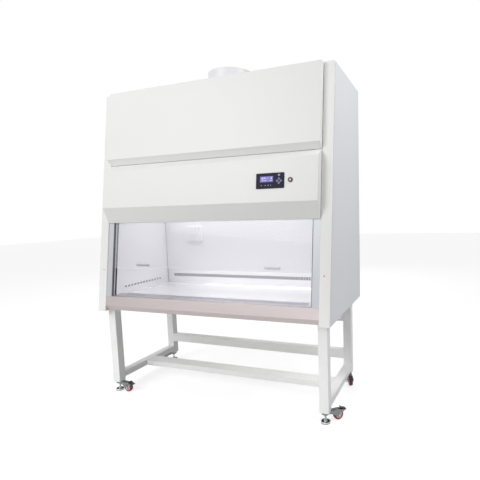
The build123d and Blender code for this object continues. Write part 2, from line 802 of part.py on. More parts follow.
# ---------------------------------------------------------------- window and its drive
glass_back = glass_front - glass_thickness
channel_z = (sill_top, slope_yz(channel_top, channel_front)[1])
with BuildPart() as channel_right:
    prism(lean_band(*channel_z, channel_front, -pillar_depth), channel_inner, pillar_inner)
    prism(lean_band(*channel_z, glass_front + glass_clear, glass_back - glass_clear),
          channel_inner, pillar_inner - 10, Mode.SUBTRACT)
    prism(lean_band(*channel_z, glass_back - glass_clear - 3, -pillar_depth + 3),
          channel_inner + 3, pillar_inner - 3, Mode.SUBTRACT)
with BuildPart() as window_channels:
    add(channel_right.part)
    mirror(channel_right.part, about=Plane.YZ)
save(window_channels.part, "window_channels")

glass_half = channel_inner + glass_bite
with BuildPart() as sash_glass:
    slab((-glass_half, glass_half), (glass_along, glass_along + glass_height), (glass_back, glass_front))
save(sash_glass.part, "sash_glass")

with BuildPart() as sash_handles:
    handle_base = glass_along + handle_rise
    handle_crest = handle_base + handle_height
    handle_path = [
        slope_yz(handle_base, glass_front),
        slope_yz(handle_crest, glass_front),
        slope_yz(handle_crest, glass_front + handle_lip),
        slope_yz(handle_crest - handle_return, glass_front + handle_lip),
    ]
    for side in (-1, 1):
        grip_x = side * handle_spread / 2
        folded(handle_path, grip_x - handle_width / 2, grip_x + handle_width / 2, handle_sheet)
save(sash_handles.part, "sash_handles")

pitch_radius = module * pinion_teeth / 2
tooth_pitch = pi * module
addendum = 0.8 * module
dedendum = 1.1 * module
rack_root = glass_back - rack_back
rack_pitch_line = rack_root - dedendum
shaft_out = rack_pitch_line - pitch_radius
teeth_below = int((sash_up + rack_spare) / tooth_pitch)
teeth_above = int((sash_opening + rack_spare) / tooth_pitch)
rack_start = shaft_along - teeth_below * tooth_pitch - 2
rack_end = shaft_along + teeth_above * tooth_pitch + 2
glass_top = glass_along + glass_height
tooth_base = tooth_pitch / 4 + dedendum * tan(radians(pressure_angle)) - tooth_backlash / 2
tooth_tip = tooth_pitch / 4 - addendum * tan(radians(pressure_angle)) - tooth_backlash / 2
with BuildPart() as sash_racks:
    outline = [(rack_start, glass_back), (rack_start, rack_root)]
    for i in range(-teeth_below, teeth_above):
        middle = shaft_along + (i + 0.5) * tooth_pitch
        outline.append((middle - tooth_base, rack_root))
        outline.append((middle - tooth_tip, rack_pitch_line - addendum))
        outline.append((middle + tooth_tip, rack_pitch_line - addendum))
        outline.append((middle + tooth_base, rack_root))
    outline.extend([(rack_end, rack_root), (rack_end, glass_back)])
    rack_outline = [slope_yz(*point) for point in outline]
    for side in (-1, 1):
        rack_x = side * rack_spread / 2
        prism(rack_outline, rack_x - rack_width / 2, rack_x + rack_width / 2)
        slab((rack_x - rack_width / 2, rack_x + rack_width / 2), (glass_top - rack_clamp, rack_start),
             (rack_root, glass_back))
save(sash_racks.part, "sash_racks")

shaft_yz = slope_yz(shaft_along, shaft_out)
shaft_half = rack_spread / 2 + 26


def pinion_outline():
    """Tooth outline round the shaft in (y, z), one tooth pointing squarely at the rack."""
    step = 2 * pi / pinion_teeth
    flank = (
        (pitch_radius - dedendum, 0.30 * step),
        (pitch_radius, 0.21 * step),
        (pitch_radius + addendum, 0.10 * step),
    )
    points = []
    for i in range(pinion_teeth):
        middle = radians(180 - slant) + i * step
        for radius, spread in flank:
            points.append((radius, middle - spread))
        for radius, spread in reversed(flank):
            points.append((radius, middle + spread))
    return [(shaft_yz[0] + r * cos(turn), shaft_yz[1] + r * sin(turn)) for r, turn in points]


with BuildPart() as drive_shaft:
    for side in (-1, 1):
        pinion_x = side * rack_spread / 2
        prism(pinion_outline(), pinion_x - rack_width / 2, pinion_x + rack_width / 2)
    rod(shaft_yz, shaft_radius, -shaft_half, 2 * shaft_half)
save(drive_shaft.part, "drive_shaft")

beam_top = shaft_along - pitch_radius - addendum - 6
beam_drop = 44
with BuildPart() as drive_beam:
    slab((-pillar_inner, pillar_inner), (beam_top - beam_drop, beam_top),
         (-pillar_depth - 3, -pillar_depth))
    slab((-pillar_inner, pillar_inner), (beam_top - 3, beam_top), (-pillar_depth - 30, -pillar_depth - 3))
    for bearing_x in (-shaft_half + 8, shaft_half - 8):
        slab((bearing_x - 8, bearing_x + 8), (beam_top, shaft_along + 16),
             (shaft_out - 14, shaft_out + 14))
    rod(shaft_yz, shaft_radius + turning_fit, -shaft_half, 2 * shaft_half, Mode.SUBTRACT)
save(drive_beam.part, "drive_beam")

gearmotor_out = (shaft_out - 66, shaft_out + 20)
with BuildPart() as gearmotor:
    slab((-60, 60), (beam_top, shaft_along + 30), gearmotor_out)
    rod(slope_yz(shaft_along, shaft_out - 40), 26, 60, 150)
    rod(shaft_yz, shaft_radius + turning_fit, -60, 120, Mode.SUBTRACT)
save(gearmotor.part, "gearmotor")

# ---------------------------------------------------------------- controls
panel_plane = front_plane.offset(fascia_out)
screen_at = (panel_x - 22.5, panel_along + 10)
diamond_at = (panel_x + 57, panel_along - 3)
key_places = {
    "key_up": (diamond_at[0], diamond_at[1] + key_spread),
    "key_down": (diamond_at[0], diamond_at[1] - key_spread),
    "key_left": (diamond_at[0] - key_spread, diamond_at[1]),
    "key_right": (diamond_at[0] + key_spread, diamond_at[1]),
    "key_power": (diamond_at[0], panel_along + 31),
}
with BuildPart() as control_bezel:
    with BuildSketch(panel_plane):
        with Locations((panel_x, panel_along)):
            RectangleRounded(panel_width, panel_height, 5)
        with Locations(screen_at):
            Rectangle(screen_width, screen_height, mode=Mode.SUBTRACT)
        with Locations(*key_places.values()):
            Circle(key_radius + touch_gap, mode=Mode.SUBTRACT)
    extrude(amount=panel_thickness)
    with BuildSketch(panel_plane.offset(panel_thickness)):
        for lamp_x in (-54, -29, -11, 5):
            with Locations((panel_x + lamp_x, panel_along - 27)):
                Circle(3)
    extrude(amount=0.6)
save(control_bezel.part, "control_bezel")

with BuildPart() as display_screen:
    with BuildSketch(panel_plane):
        with Locations(screen_at):
            Rectangle(screen_width - 2 * touch_gap, screen_height - 2 * touch_gap)
    extrude(amount=panel_thickness - 1)
save(display_screen.part, "display_screen")

for key_name, place in key_places.items():
    with BuildPart() as key:
        with BuildSketch(panel_plane.offset(key_travel + 0.2)):
            with Locations(place):
                Circle(key_radius)
        extrude(amount=panel_thickness)
    save(key.part, key_name)

with BuildPart() as key_switch_ring:
    with BuildSketch(panel_plane):
        with Locations((switch_x, panel_along)):
            Circle(switch_radius)
            Circle(switch_core_radius + turning_fit, mode=Mode.SUBTRACT)
    extrude(amount=5)
save(key_switch_ring.part, "key_switch_ring")

with BuildPart() as key_switch_core:
    with BuildSketch(panel_plane.offset(-skin - 12)):
        with Locations((switch_x, panel_along)):
            Circle(switch_core_radius)
    extrude(amount=skin + 12 + 4)
    with BuildSketch(panel_plane.offset(4)):
        with Locations((switch_x, panel_along)):
            Rectangle(3, 10)
    extrude(amount=-2, mode=Mode.SUBTRACT)
save(key_switch_core.part, "key_switch_core")

# ---------------------------------------------------------------- stand
with BuildPart() as stand_legs:
    for x in (-leg_x, leg_x):
        for y in (front_leg_y, rear_leg_y):
            with BuildSketch(Plane.XY.offset(leg_bottom)):
                with Locations((x, y)):
                    RectangleRounded(leg_size, leg_size, 4)
            extrude(amount=stand_top - leg_bottom)
            with BuildSketch(Plane.XY.offset(leg_bottom + end_plate)):
                with Locations((x, y)):
                    Rectangle(leg_size - 2 * leg_wall, leg_size - 2 * leg_wall)
            extrude(amount=stand_top - leg_bottom - end_plate - leg_wall, mode=Mode.SUBTRACT)
            with BuildSketch(Plane.XY.offset(leg_bottom)):
                with Locations((x, y)):
                    Circle(stem_radius + turning_fit)
            extrude(amount=end_plate, mode=Mode.SUBTRACT)
save(stand_legs.part, "stand_legs")


def tube(x_range, y_range, z_range, axis):
    """Square tube between its ends, hollow along one axis."""
    ranges = {"x": x_range, "y": y_range, "z": z_range}
    inner = {name: (low + leg_wall, high - leg_wall) for name, (low, high) in ranges.items()}
    inner[axis] = ranges[axis]
    block(*ranges.values())
    block(*inner.values(), mode=Mode.SUBTRACT)


low_z = (low_rail_bottom, low_rail_bottom + low_rail_height)
top_z = (stand_top - top_rail_height, stand_top)
with BuildPart() as stand_side_rails:
    for side in (-1, 1):
        rail_x = sorted((side * leg_inner, side * leg_outer))
        for rail_z in (low_z, top_z):
            tube(rail_x, (front_leg_back, rear_leg_front), rail_z, "y")
save(stand_side_rails.part, "stand_side_rails")

with BuildPart() as stand_cross_rails:
    rail_x = (-leg_inner, leg_inner)
    tube(rail_x, (cross_rail_front, cross_rail_front + cross_rail_depth), low_z, "x")
    tube(rail_x, (rear_leg_front, rear_leg_front + mid_rail_depth),
         (mid_rail_bottom, mid_rail_bottom + mid_rail_height), "x")
    tube(rail_x, (rear_leg_front, rear_leg_front + high_rail_depth),
         (high_rail_bottom, high_rail_bottom + high_rail_height), "x")
    tube(rail_x, (front_leg_back - leg_size, front_leg_back), top_z, "x")
    tube(rail_x, (rear_leg_front, rear_leg_front + leg_size), top_z, "x")
save(stand_cross_rails.part, "stand_cross_rails")

# ---------------------------------------------------------------- castors
wheel_z = wheel_radius + wheel_clear
with BuildPart() as castor_fork:
    with BuildSketch(Plane.XY.offset(leg_bottom - head_height)):
        Circle(head_radius)
    extrude(amount=head_height)
    with BuildSketch(Plane.XY.offset(leg_bottom - fork_sheet - 0.5)):
        with Locations((castor_trail / 2, 0)):
            Rectangle(castor_trail, wheel_width + 2 * fork_sheet + 2)
    extrude(amount=fork_sheet)
    for side in (-1, 1):
        cheek_y = side * (wheel_width / 2 + 1)
        with BuildSketch(Plane.XZ.offset(-cheek_y)):
            with BuildLine():
                Polyline((head_radius - 6, leg_bottom - 0.5), (head_radius - 6, leg_bottom - head_height),
                         (castor_trail - 14, wheel_z - 8), (castor_trail + 10, wheel_z - 8),
                         (castor_trail + 34, wheel_z + 20), (castor_trail + 34, wheel_z + 30),
                         (castor_trail, leg_bottom - 0.5), close=True)
            make_face()
        extrude(amount=-side * fork_sheet)
    with BuildSketch(Plane.XZ.offset(wheel_width / 2 + 1)):
        with Locations((castor_trail, wheel_z)):
            Circle(axle_radius)
        with Locations((castor_trail + 29, wheel_z + 23)):
            Circle(pedal_pin_radius)
    extrude(amount=-(wheel_width + 2))
    with BuildSketch(Plane.XY.offset(leg_bottom)):
        Circle(stem_radius + stem_clear)
    extrude(amount=-head_height, mode=Mode.SUBTRACT)

with BuildPart() as castor_wheel:
    half_width = wheel_width / 2
    with BuildSketch(Plane.YZ) as half_section:
        with BuildLine():
            Polyline((-half_width, axle_radius + turning_fit), (-half_width, hub_radius),
                     (-half_width + hub_recess, hub_radius + 2), (-half_width + hub_recess, rim_radius),
                     (-half_width, rim_radius + 1), (-half_width, wheel_radius - tread_round),
                     (-half_width + tread_round, wheel_radius), (half_width - tread_round, wheel_radius),
                     (half_width, wheel_radius - tread_round), (half_width, rim_radius + 1),
                     (half_width - hub_recess, rim_radius), (half_width - hub_recess, hub_radius + 2),
                     (half_width, hub_radius), (half_width, axle_radius + turning_fit), close=True)
        make_face()
    revolve(half_section.sketch, axis=Axis.Y)
wheel_turned = castor_wheel.part.moved(Location((castor_trail, 0, wheel_z)))

pedal_reach = 22
with BuildPart() as castor_pedal:
    pedal_pin = (castor_trail + 29, wheel_z + 23)
    with BuildSketch(Plane.XZ.offset(wheel_width / 2)):
        with BuildLine():
            Polyline((pedal_pin[0] - 4, pedal_pin[1] + 8), (pedal_pin[0] - 16, pedal_pin[1] + 20),
                     (pedal_pin[0] - 13, pedal_pin[1] + 24), (pedal_pin[0] + 6, pedal_pin[1] + 12),
                     (pedal_pin[0] + pedal_reach, pedal_pin[1] + 8),
                     (pedal_pin[0] + pedal_reach, pedal_pin[1] + 3),
                     (pedal_pin[0] + 6, pedal_pin[1] - 4), (pedal_pin[0] - 4, pedal_pin[1] - 3),
                     close=True)
        make_face()
        with Locations(pedal_pin):
            Circle(pedal_pin_radius + turning_fit, mode=Mode.SUBTRACT)
    extrude(amount=-wheel_width)

with BuildPart() as levelling_foot:
    with BuildSketch(Plane.XY):
        Circle(pad_radius)
    extrude(amount=pad_skirt)
    with BuildSketch(Plane.XY.offset(pad_skirt)):
        Circle(pad_radius)
    extrude(amount=pad_height - pad_skirt, taper=35)
    with BuildSketch(Plane.XY.offset(pad_height)):
        RegularPolygon(11, 6)
    extrude(amount=8)
    with BuildSketch(Plane.XY.offset(pad_height)):
        Circle(stem_radius)
    extrude(amount=stem_length)

corners = {
    "front_right": (leg_x, front_leg_y),
    "front_left": (-leg_x, front_leg_y),
    "rear_right": (leg_x, rear_leg_y),
    "rear_left": (-leg_x, rear_leg_y),
}
for corner, (x, y) in corners.items():
    station = Location((x, y, 0), (0, 0, castor_headings[corner]))
    save(castor_fork.part.moved(station), f"castor_fork_{corner}")
    save(wheel_turned.moved(station), f"castor_wheel_{corner}")
    save(castor_pedal.part.moved(station), f"castor_pedal_{corner}")
    save(levelling_foot.part.moved(station), f"levelling_foot_{corner}")

# ---------------------------------------------------------------- fasteners
dot_height = 905
dot_x = 812
screw_radius = 5
screw_head = 2.5
rear_screw_pitch = 270
with BuildPart() as screws:
    with BuildSketch(front_plane):
        with Locations((-dot_x, slope_along(dot_height)), (dot_x, slope_along(dot_height))):
            Circle(screw_radius)
    extrude(amount=screw_head)
    with BuildSketch(Plane.XZ.offset(-cab_back)):
        with Locations((0, (cab_bottom + cab_top) / 2)):
            with GridLocations(2 * (panel_inside - flange - 12), rear_screw_pitch, 2, 6):
                RegularPolygon(screw_radius, 12)
    extrude(amount=skin)
save(screws.part, "screws")
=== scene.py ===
# %% [markdown]
# A biosafety cabinet is a painted steel box on a tube stand. Air is drawn in at the front
# grille, filtered above the work chamber and pushed down over the work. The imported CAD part
# holds every panel, joint and dimension. This script gives it finishes and small detail.

# %% Load the frame
import json
from math import atan2, cos, pi, radians, sin

import bmesh
import bpy
from mathutils import Matrix, Vector


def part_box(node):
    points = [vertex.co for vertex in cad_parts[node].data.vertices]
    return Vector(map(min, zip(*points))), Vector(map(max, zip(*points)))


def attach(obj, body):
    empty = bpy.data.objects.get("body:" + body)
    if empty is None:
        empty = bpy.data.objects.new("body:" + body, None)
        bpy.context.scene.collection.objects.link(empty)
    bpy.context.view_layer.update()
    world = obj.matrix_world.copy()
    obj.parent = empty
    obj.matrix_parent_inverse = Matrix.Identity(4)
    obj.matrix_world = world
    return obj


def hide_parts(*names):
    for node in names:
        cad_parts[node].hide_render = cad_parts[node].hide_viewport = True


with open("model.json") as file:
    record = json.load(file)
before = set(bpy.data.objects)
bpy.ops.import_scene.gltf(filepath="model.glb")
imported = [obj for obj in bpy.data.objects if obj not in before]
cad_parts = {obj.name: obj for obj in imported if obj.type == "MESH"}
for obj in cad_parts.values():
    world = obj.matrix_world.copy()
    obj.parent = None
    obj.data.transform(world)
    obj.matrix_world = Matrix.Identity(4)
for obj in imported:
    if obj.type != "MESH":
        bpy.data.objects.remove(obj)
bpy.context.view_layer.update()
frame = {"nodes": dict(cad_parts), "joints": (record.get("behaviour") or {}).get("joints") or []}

nodes = frame["nodes"]
joints = {joint["name"]: joint for joint in frame["joints"]}
MM = 0.001

# %% [markdown]
# Everything on the front follows one leaning plane. The sash slides along it, so its joint
# axis gives the lean, and the foot of the pillars gives a point on it.

# %% The leaning front
sash_axis = Vector(joints["sash_slide"]["axis"]).normalized()
lean = atan2(sash_axis.y, sash_axis.z)
front_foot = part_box("front_pillars")[0]
outward = Vector((0, -cos(lean), sin(lean)))


def on_front(x, along, out):
    """A frame on the leaning front: X sideways, Y up the slope, Z out of it."""
    place = Vector((x, front_foot.y, front_foot.z)) + along * sash_axis + out * outward
    turn = Matrix((Vector((1, 0, 0)), sash_axis, outward)).transposed()
    return Matrix.Translation(place) @ turn.to_4x4()


def along_of(z, out=0.0):
    """Distance up the slope at which a point at height z lies."""
    return (z - front_foot.z - out * sin(lean)) / cos(lean)


print("lean in degrees:", round(lean * 180 / pi, 2))

# %% [markdown]
# The camera stands in front and to the right, at about chest height. The lens is slightly
# wide, and the picture is shifted because the cabinet isn't in its middle.

# %% Camera
camera_place = Vector((1.4388, -2.5732, 1.2678))
camera_yaw = radians(20.387)
camera_pitch = radians(-5.95)
camera_roll = radians(-1.554)
camera_data = bpy.data.cameras.new("studio_camera")
camera_data.sensor_width = 36
camera_data.lens = 29.91
camera_data.shift_x = -0.1131
camera_data.shift_y = 0.0304
camera = bpy.data.objects.new("studio_camera", camera_data)
ahead = Vector((-sin(camera_yaw) * cos(camera_pitch), cos(camera_yaw) * cos(camera_pitch),
                sin(camera_pitch)))
level = Vector((cos(camera_yaw), sin(camera_yaw), 0))
upright = level.cross(ahead)
right = cos(camera_roll) * level + sin(camera_roll) * upright
top = cos(camera_roll) * upright - sin(camera_roll) * level
camera.matrix_world = Matrix.Translation(camera_place) @ Matrix((right, top, -ahead)).transposed().to_4x4()
bpy.context.scene.collection.objects.link(camera)
bpy.context.scene.camera = camera
bpy.context.scene.view_settings.view_transform = "Standard"
print("camera lens:", camera_data.lens)

# %% [markdown]
# Materials are built from nodes. Colours are written as sRGB hex values, the way a paint card
# gives them, and one function turns them linear. One small function adds a node.

# %% Node helpers


def linear(hex_colour):
    """An sRGB hex colour as linear RGBA."""
    values = [int(hex_colour[i:i + 2], 16) / 255 for i in (1, 3, 5)]
    return (*[v / 12.92 if v <= 0.04045 else ((v + 0.055) / 1.055) ** 2.4 for v in values], 1)


def add(tree, kind, inputs=None, **settings):
    """Adds a node, sets what it is told and links any input that is given a socket."""
    made = tree.nodes.new(kind)
    for key, value in settings.items():
        setattr(made, key, value)
    for key, value in (inputs or {}).items():
        if isinstance(value, bpy.types.NodeSocket):
            tree.links.new(value, made.inputs[key])
        else:
            made.inputs[key].default_value = value
    return made


def finish_named(name, hex_colour, roughness, **sockets):
    """A new material with its Principled shader set."""
    material = bpy.data.materials.new(name)
    material.use_nodes = True
    shader = material.node_tree.nodes["Principled BSDF"]
    shader.inputs["Base Color"].default_value = linear(hex_colour)
    shader.inputs["Roughness"].default_value = roughness
    for key, value in sockets.items():
        shader.inputs[key].default_value = value
    return material, material.node_tree, shader


def object_space(tree, cells_per_metre=(1, 1, 1), turn=(0, 0, 0)):
    """Object coordinates, stretched so that one unit is one cell of a pattern."""
    coordinate = add(tree, "ShaderNodeTexCoord")
    return add(tree, "ShaderNodeMapping", {"Vector": coordinate.outputs["Object"], "Rotation": turn,
                                           "Scale": cells_per_metre}).outputs["Vector"]


def vary(tree, shader, hex_low, hex_high, pattern):
    """Lets the base colour wander between two shades."""
    # A Mix node's colour inputs are numbers 6 and 7, and its colour output is number 2.
    mix = add(tree, "ShaderNodeMix", {0: pattern, 6: linear(hex_low), 7: linear(hex_high)},
              data_type="RGBA")
    tree.links.new(mix.outputs[2], shader.inputs["Base Color"])


def roughen(tree, shader, low, high, pattern):
    """Lets the roughness wander between two values."""
    span = add(tree, "ShaderNodeMapRange", {"Value": pattern, "To Min": low, "To Max": high})
    tree.links.new(span.outputs["Result"], shader.inputs["Roughness"])


def relief(tree, shader, height, depth_mm, strength=1.0, normal=None):
    """A bump whose full height is depth_mm."""
    inputs = {"Height": height, "Distance": depth_mm * MM, "Strength": strength}
    if normal is not None:
        inputs["Normal"] = normal
    bump = add(tree, "ShaderNodeBump", inputs)
    tree.links.new(bump.outputs["Normal"], shader.inputs["Normal"])


def noise(tree, vector, detail=2.0, roughness=0.5):
    """A noise pattern with one blob to a cell of the space it is given."""
    return add(tree, "ShaderNodeTexNoise", {"Vector": vector, "Scale": 1.0, "Detail": detail,
                                            "Roughness": roughness}).outputs["Fac"]


def rounded_normal(tree, radius_mm):
    """The surface's normal with every sharp edge shaded as if rounded."""
    return add(tree, "ShaderNodeBevel", {"Radius": radius_mm * MM}, samples=4).outputs["Normal"]


def cubes(tree, size_mm):
    """Object space cut into cubic cells of the given size."""
    cells = 1 / (size_mm * MM)
    return object_space(tree, (cells, cells, cells))


print("helpers ready")

# %% [markdown]
# Powder coat is sprayed as dry plastic powder and baked. It flows into a skin that is satin
# and slightly pebbled, like orange peel, at 2 to 4 mm. It also rounds sharp edges a little,
# which is shaded with a bevelled normal.

# %% Powder coat


def powder_coat(name, hex_colour, hex_shade, roughness=0.42, peel_mm=2.6):
    """A satin coat with orange peel, whose shade wanders over most of a metre."""
    material, tree, shader = finish_named(name, hex_colour, roughness)
    broad = noise(tree, object_space(tree, (1.3, 1.3, 1.3)), detail=3)
    vary(tree, shader, hex_shade, hex_colour, broad)
    peel = noise(tree, cubes(tree, peel_mm), detail=1)
    roughen(tree, shader, roughness - 0.04, roughness + 0.05, peel)
    relief(tree, shader, peel, 0.05, 0.35, rounded_normal(tree, 1.2))
    return material


coat_white = powder_coat("powder_coat_white", "#F3F3F1", "#F0F0EF")
# The side, rear and top panels wear the same white as the front; this copy is a little darker and bluer,
# which is painted shade.
coat_side_shaded = powder_coat("powder_coat_side_shaded", "#E9EBF0", "#E4E7EC")
coat_stand = powder_coat("powder_coat_stand", "#F6F7F6", "#F2F3F2", 0.38)
coat_lining = powder_coat("powder_coat_lining", "#F2F1F4", "#EEEDF1", 0.30, 1.8)
enamel_grey = powder_coat("machine_enamel_grey", "#5D6266", "#55595D", 0.35)
enamel_black = powder_coat("machine_enamel_black", "#2B2D30", "#26282A", 0.40)
dipped_red = powder_coat("vinyl_dip_red", "#B02B26", "#9E2320", 0.34, 4.0)
print("painted finishes:", 7)

# %% [markdown]
# Brushed stainless has been drawn past an abrasive belt, so it holds thousands of long fine
# scratches that all run one way. The real lines are about 0.1 mm apart, too fine for a
# picture of the whole cabinet, so they are drawn at 0.8 to 2 mm.

# %% Stainless and other metals


def brushed_steel(name, hex_colour, hex_shade, roughness, grain_turn=(0, 0, 0),
                  line_mm=1.5, line_length_mm=400, metallic=1.0):
    """Steel or alloy with fine lines, which run along X unless the grain is turned."""
    material, tree, shader = finish_named(name, hex_colour, roughness, Metallic=metallic)
    across = 1 / (line_mm * MM)
    along = 1 / (line_length_mm * MM)
    space = object_space(tree, (along, across, across), grain_turn)
    lines = noise(tree, space, detail=3, roughness=0.6)
    vary(tree, shader, hex_shade, hex_colour, lines)
    roughen(tree, shader, roughness - 0.07, roughness + 0.08, lines)
    relief(tree, shader, lines, 0.03, 0.4, rounded_normal(tree, 1.0))
    return material


def zinc_sheet(name, hex_colour, hex_shade, crystal_mm=14):
    """Galvanised sheet: zinc that froze into flat crystals, each with its own sheen."""
    material, tree, shader = finish_named(name, hex_colour, 0.42, Metallic=1.0)
    crystals = add(tree, "ShaderNodeTexVoronoi", {"Vector": cubes(tree, crystal_mm)})
    shade = add(tree, "ShaderNodeSeparateColor", {"Color": crystals.outputs["Color"]}).outputs["Red"]
    vary(tree, shader, hex_shade, hex_colour, shade)
    roughen(tree, shader, 0.34, 0.52, shade)
    relief(tree, shader, shade, 0.02, 0.3)
    return material


def cast_metal(name, hex_colour, hex_shade, roughness, metallic, grain_mm=1.2):
    """Die-cast or sand-cast metal: a fine pebbled skin from the mould."""
    material, tree, shader = finish_named(name, hex_colour, roughness, Metallic=metallic)
    grain = noise(tree, cubes(tree, grain_mm), detail=4)
    vary(tree, shader, hex_shade, hex_colour, grain)
    roughen(tree, shader, roughness - 0.06, roughness + 0.10, grain)
    relief(tree, shader, grain, 0.06, 0.5, rounded_normal(tree, 0.8))
    return material


steel_sill = brushed_steel("brushed_stainless_sill", "#BBB2B2", "#ABA3A3", 0.38)
steel_work = brushed_steel("polished_stainless_worktop", "#FFFFFF", "#F8F8FA", 0.22,
                           line_mm=2.0, metallic=0.6)
steel_grille = brushed_steel("brushed_stainless_grille", "#D8D7DD", "#CCCBD2", 0.28)
steel_turned = brushed_steel("turned_steel", "#C6C8CA", "#B4B6B9", 0.28,
                             line_mm=0.8, line_length_mm=30)
channel_alloy = brushed_steel("anodised_channel", "#C4C5CB", "#B6B8BE", 0.40, (0, pi / 2, 0),
                              metallic=0.35)
handle_alloy = brushed_steel("satin_anodised_handle", "#A9A8B0", "#9A99A2", 0.36)
zinc_duct = zinc_sheet("galvanised_sheet", "#D5D6DA", "#C3C5CA")
zinc_plate = cast_metal("zinc_plated_steel", "#C9CBCC", "#B3B6B8", 0.30, 1.0, 3.0)
alloy_cast = cast_metal("cast_aluminium", "#C3C6C8", "#B0B3B6", 0.42, 1.0)
fork_zinc = cast_metal("zinc_nickel_pressing", "#8E9194", "#76797C", 0.34, 0.85)
valve_brass = cast_metal("cast_brass", "#C7A65A", "#B08F48", 0.36, 1.0, 1.6)
collar_metal = powder_coat("powder_coat_collar", "#F2F2F4", "#ECECEF", 0.40)
print("metals ready")

# %% [markdown]
# Mouldings: hard plastics are glossy with a faint texture from the tool, rubber is matt and
# soft-edged, and the tyre is a deep red polyurethane.

# %% Plastics, rubber, paper and glass


def moulded(name, hex_colour, hex_shade, roughness, grain_mm=0.9, depth_mm=0.02, **sockets):
    """Plastic or rubber with the fine grain of its mould."""
    material, tree, shader = finish_named(name, hex_colour, roughness, **sockets)
    grain = noise(tree, cubes(tree, grain_mm), detail=2)
    vary(tree, shader, hex_shade, hex_colour, grain)
    roughen(tree, shader, roughness - 0.04, roughness + 0.06, grain)
    relief(tree, shader, grain, depth_mm, 0.5, rounded_normal(tree, 0.6))
    return material


# The wiper's grey is partly painted shade, for the slot between the channel's lip and the glass.
wiper_and_shade_grey = moulded("santoprene_and_shade_grey", "#74767E", "#696B73", 0.5, 1.4, 0.04)
# This black rubber is also used as painted shade: rims round the air slots and holes, and bars in the
# screws' cross recesses.
rubber_and_shade_black = moulded("epdm_black_rubber_and_shade", "#26272B", "#1D1E21", 0.62, 1.4, 0.05)
tyre_maroon = moulded("polyurethane_tyre_maroon", "#8C2E36", "#78262E", 0.38, 1.6, 0.03)
hub_nylon = moulded("nylon_hub_pale", "#F2E2E4", "#E6D3D6", 0.36)
pedal_black = moulded("glass_filled_nylon_black", "#222326", "#1A1B1D", 0.46, 0.7, 0.04)
socket_abs = moulded("abs_white", "#FAFAFB", "#F5F5F7", 0.28)
lid_abs = moulded("abs_lid_white", "#F4F5F8", "#ECEDF2", 0.30)
rack_acetal = moulded("acetal_rack", "#E4E1D6", "#D9D6CA", 0.38)
bezel_film = moulded("membrane_film_navy", "#17122E", "#110D23", 0.45, 0.8, 0.01,
                     **{"Specular IOR Level": 0.15})
bezel_line = moulded("membrane_print_light", "#A8A2CC", "#9A94C0", 0.40)
key_film = moulded("key_film_violet", "#4A4380", "#3F3970", 0.40, 0.8, 0.01)
key_power_film = moulded("key_film_lilac", "#A49CCB", "#958DBE", 0.40, 0.8, 0.01)
switch_maroon = moulded("phenolic_maroon", "#4A2526", "#3A1B1C", 0.40)
switch_nickel = cast_metal("switch_barrel_nickel", "#C2B6B8", "#B2A6A9", 0.40, 0.5, 0.8)
cap_pink = moulded("screw_cap_pink", "#E79C9C", "#DD8E8F", 0.34)
lamp_off = moulded("indicator_lens", "#C9C6E6", "#B9B5DA", 0.22)


def pleated_paper(name):
    """Filter medium: fibrous white paper with fine ridges of hot glue across it."""
    material, tree, shader = finish_named(name, "#F1EFE8", 0.85)
    fibre = noise(tree, object_space(tree, (900, 900, 900)), detail=4)
    vary(tree, shader, "#E8E5DC", "#F6F4EE", fibre)
    ridges = add(tree, "ShaderNodeTexWave", {"Vector": object_space(tree, (1, 1, 1)), "Scale": 6.0},
                 bands_direction="Y")
    relief(tree, shader, ridges.outputs["Fac"], 0.4, 0.5)
    return material


def sheet_glass(name):
    """Laminated glass: clear, faintly violet-grey, with a cleaner's haze in its gloss."""
    material, tree, shader = finish_named(name, "#DCDCE3", 0.05, Alpha=0.2)
    shader.inputs["IOR"].default_value = 1.5
    haze = noise(tree, object_space(tree, (6, 6, 6)), detail=3)
    roughen(tree, shader, 0.03, 0.09, haze)
    waves = noise(tree, object_space(tree, (3, 3, 3)), detail=0)
    relief(tree, shader, waves, 0.05, 0.3)
    return material


def glowing(name, hex_colour, strength, base_hex="#F4F4F8"):
    """A lit tube or display, glossier in soft patches."""
    material, tree, shader = finish_named(name, base_hex, 0.3)
    shader.inputs["Emission Color"].default_value = linear(hex_colour)
    shader.inputs["Emission Strength"].default_value = strength
    patch = noise(tree, object_space(tree, (60, 60, 60)), detail=1)
    roughen(tree, shader, 0.25, 0.4, patch)
    return material


filter_paper = pleated_paper("pleated_filter_paper")
glass_sash = sheet_glass("laminated_glass")
lamp_white = glowing("lamp_tube_lit", "#FFFFFF", 1.6)
screen_lit = glowing("lcd_backlight_violet", "#6E63CF", 0.30, "#453C86")
screen_text = glowing("lcd_bright_segments", "#CFC9FF", 0.32, "#A59EDD")
print("materials:", len(bpy.data.materials))
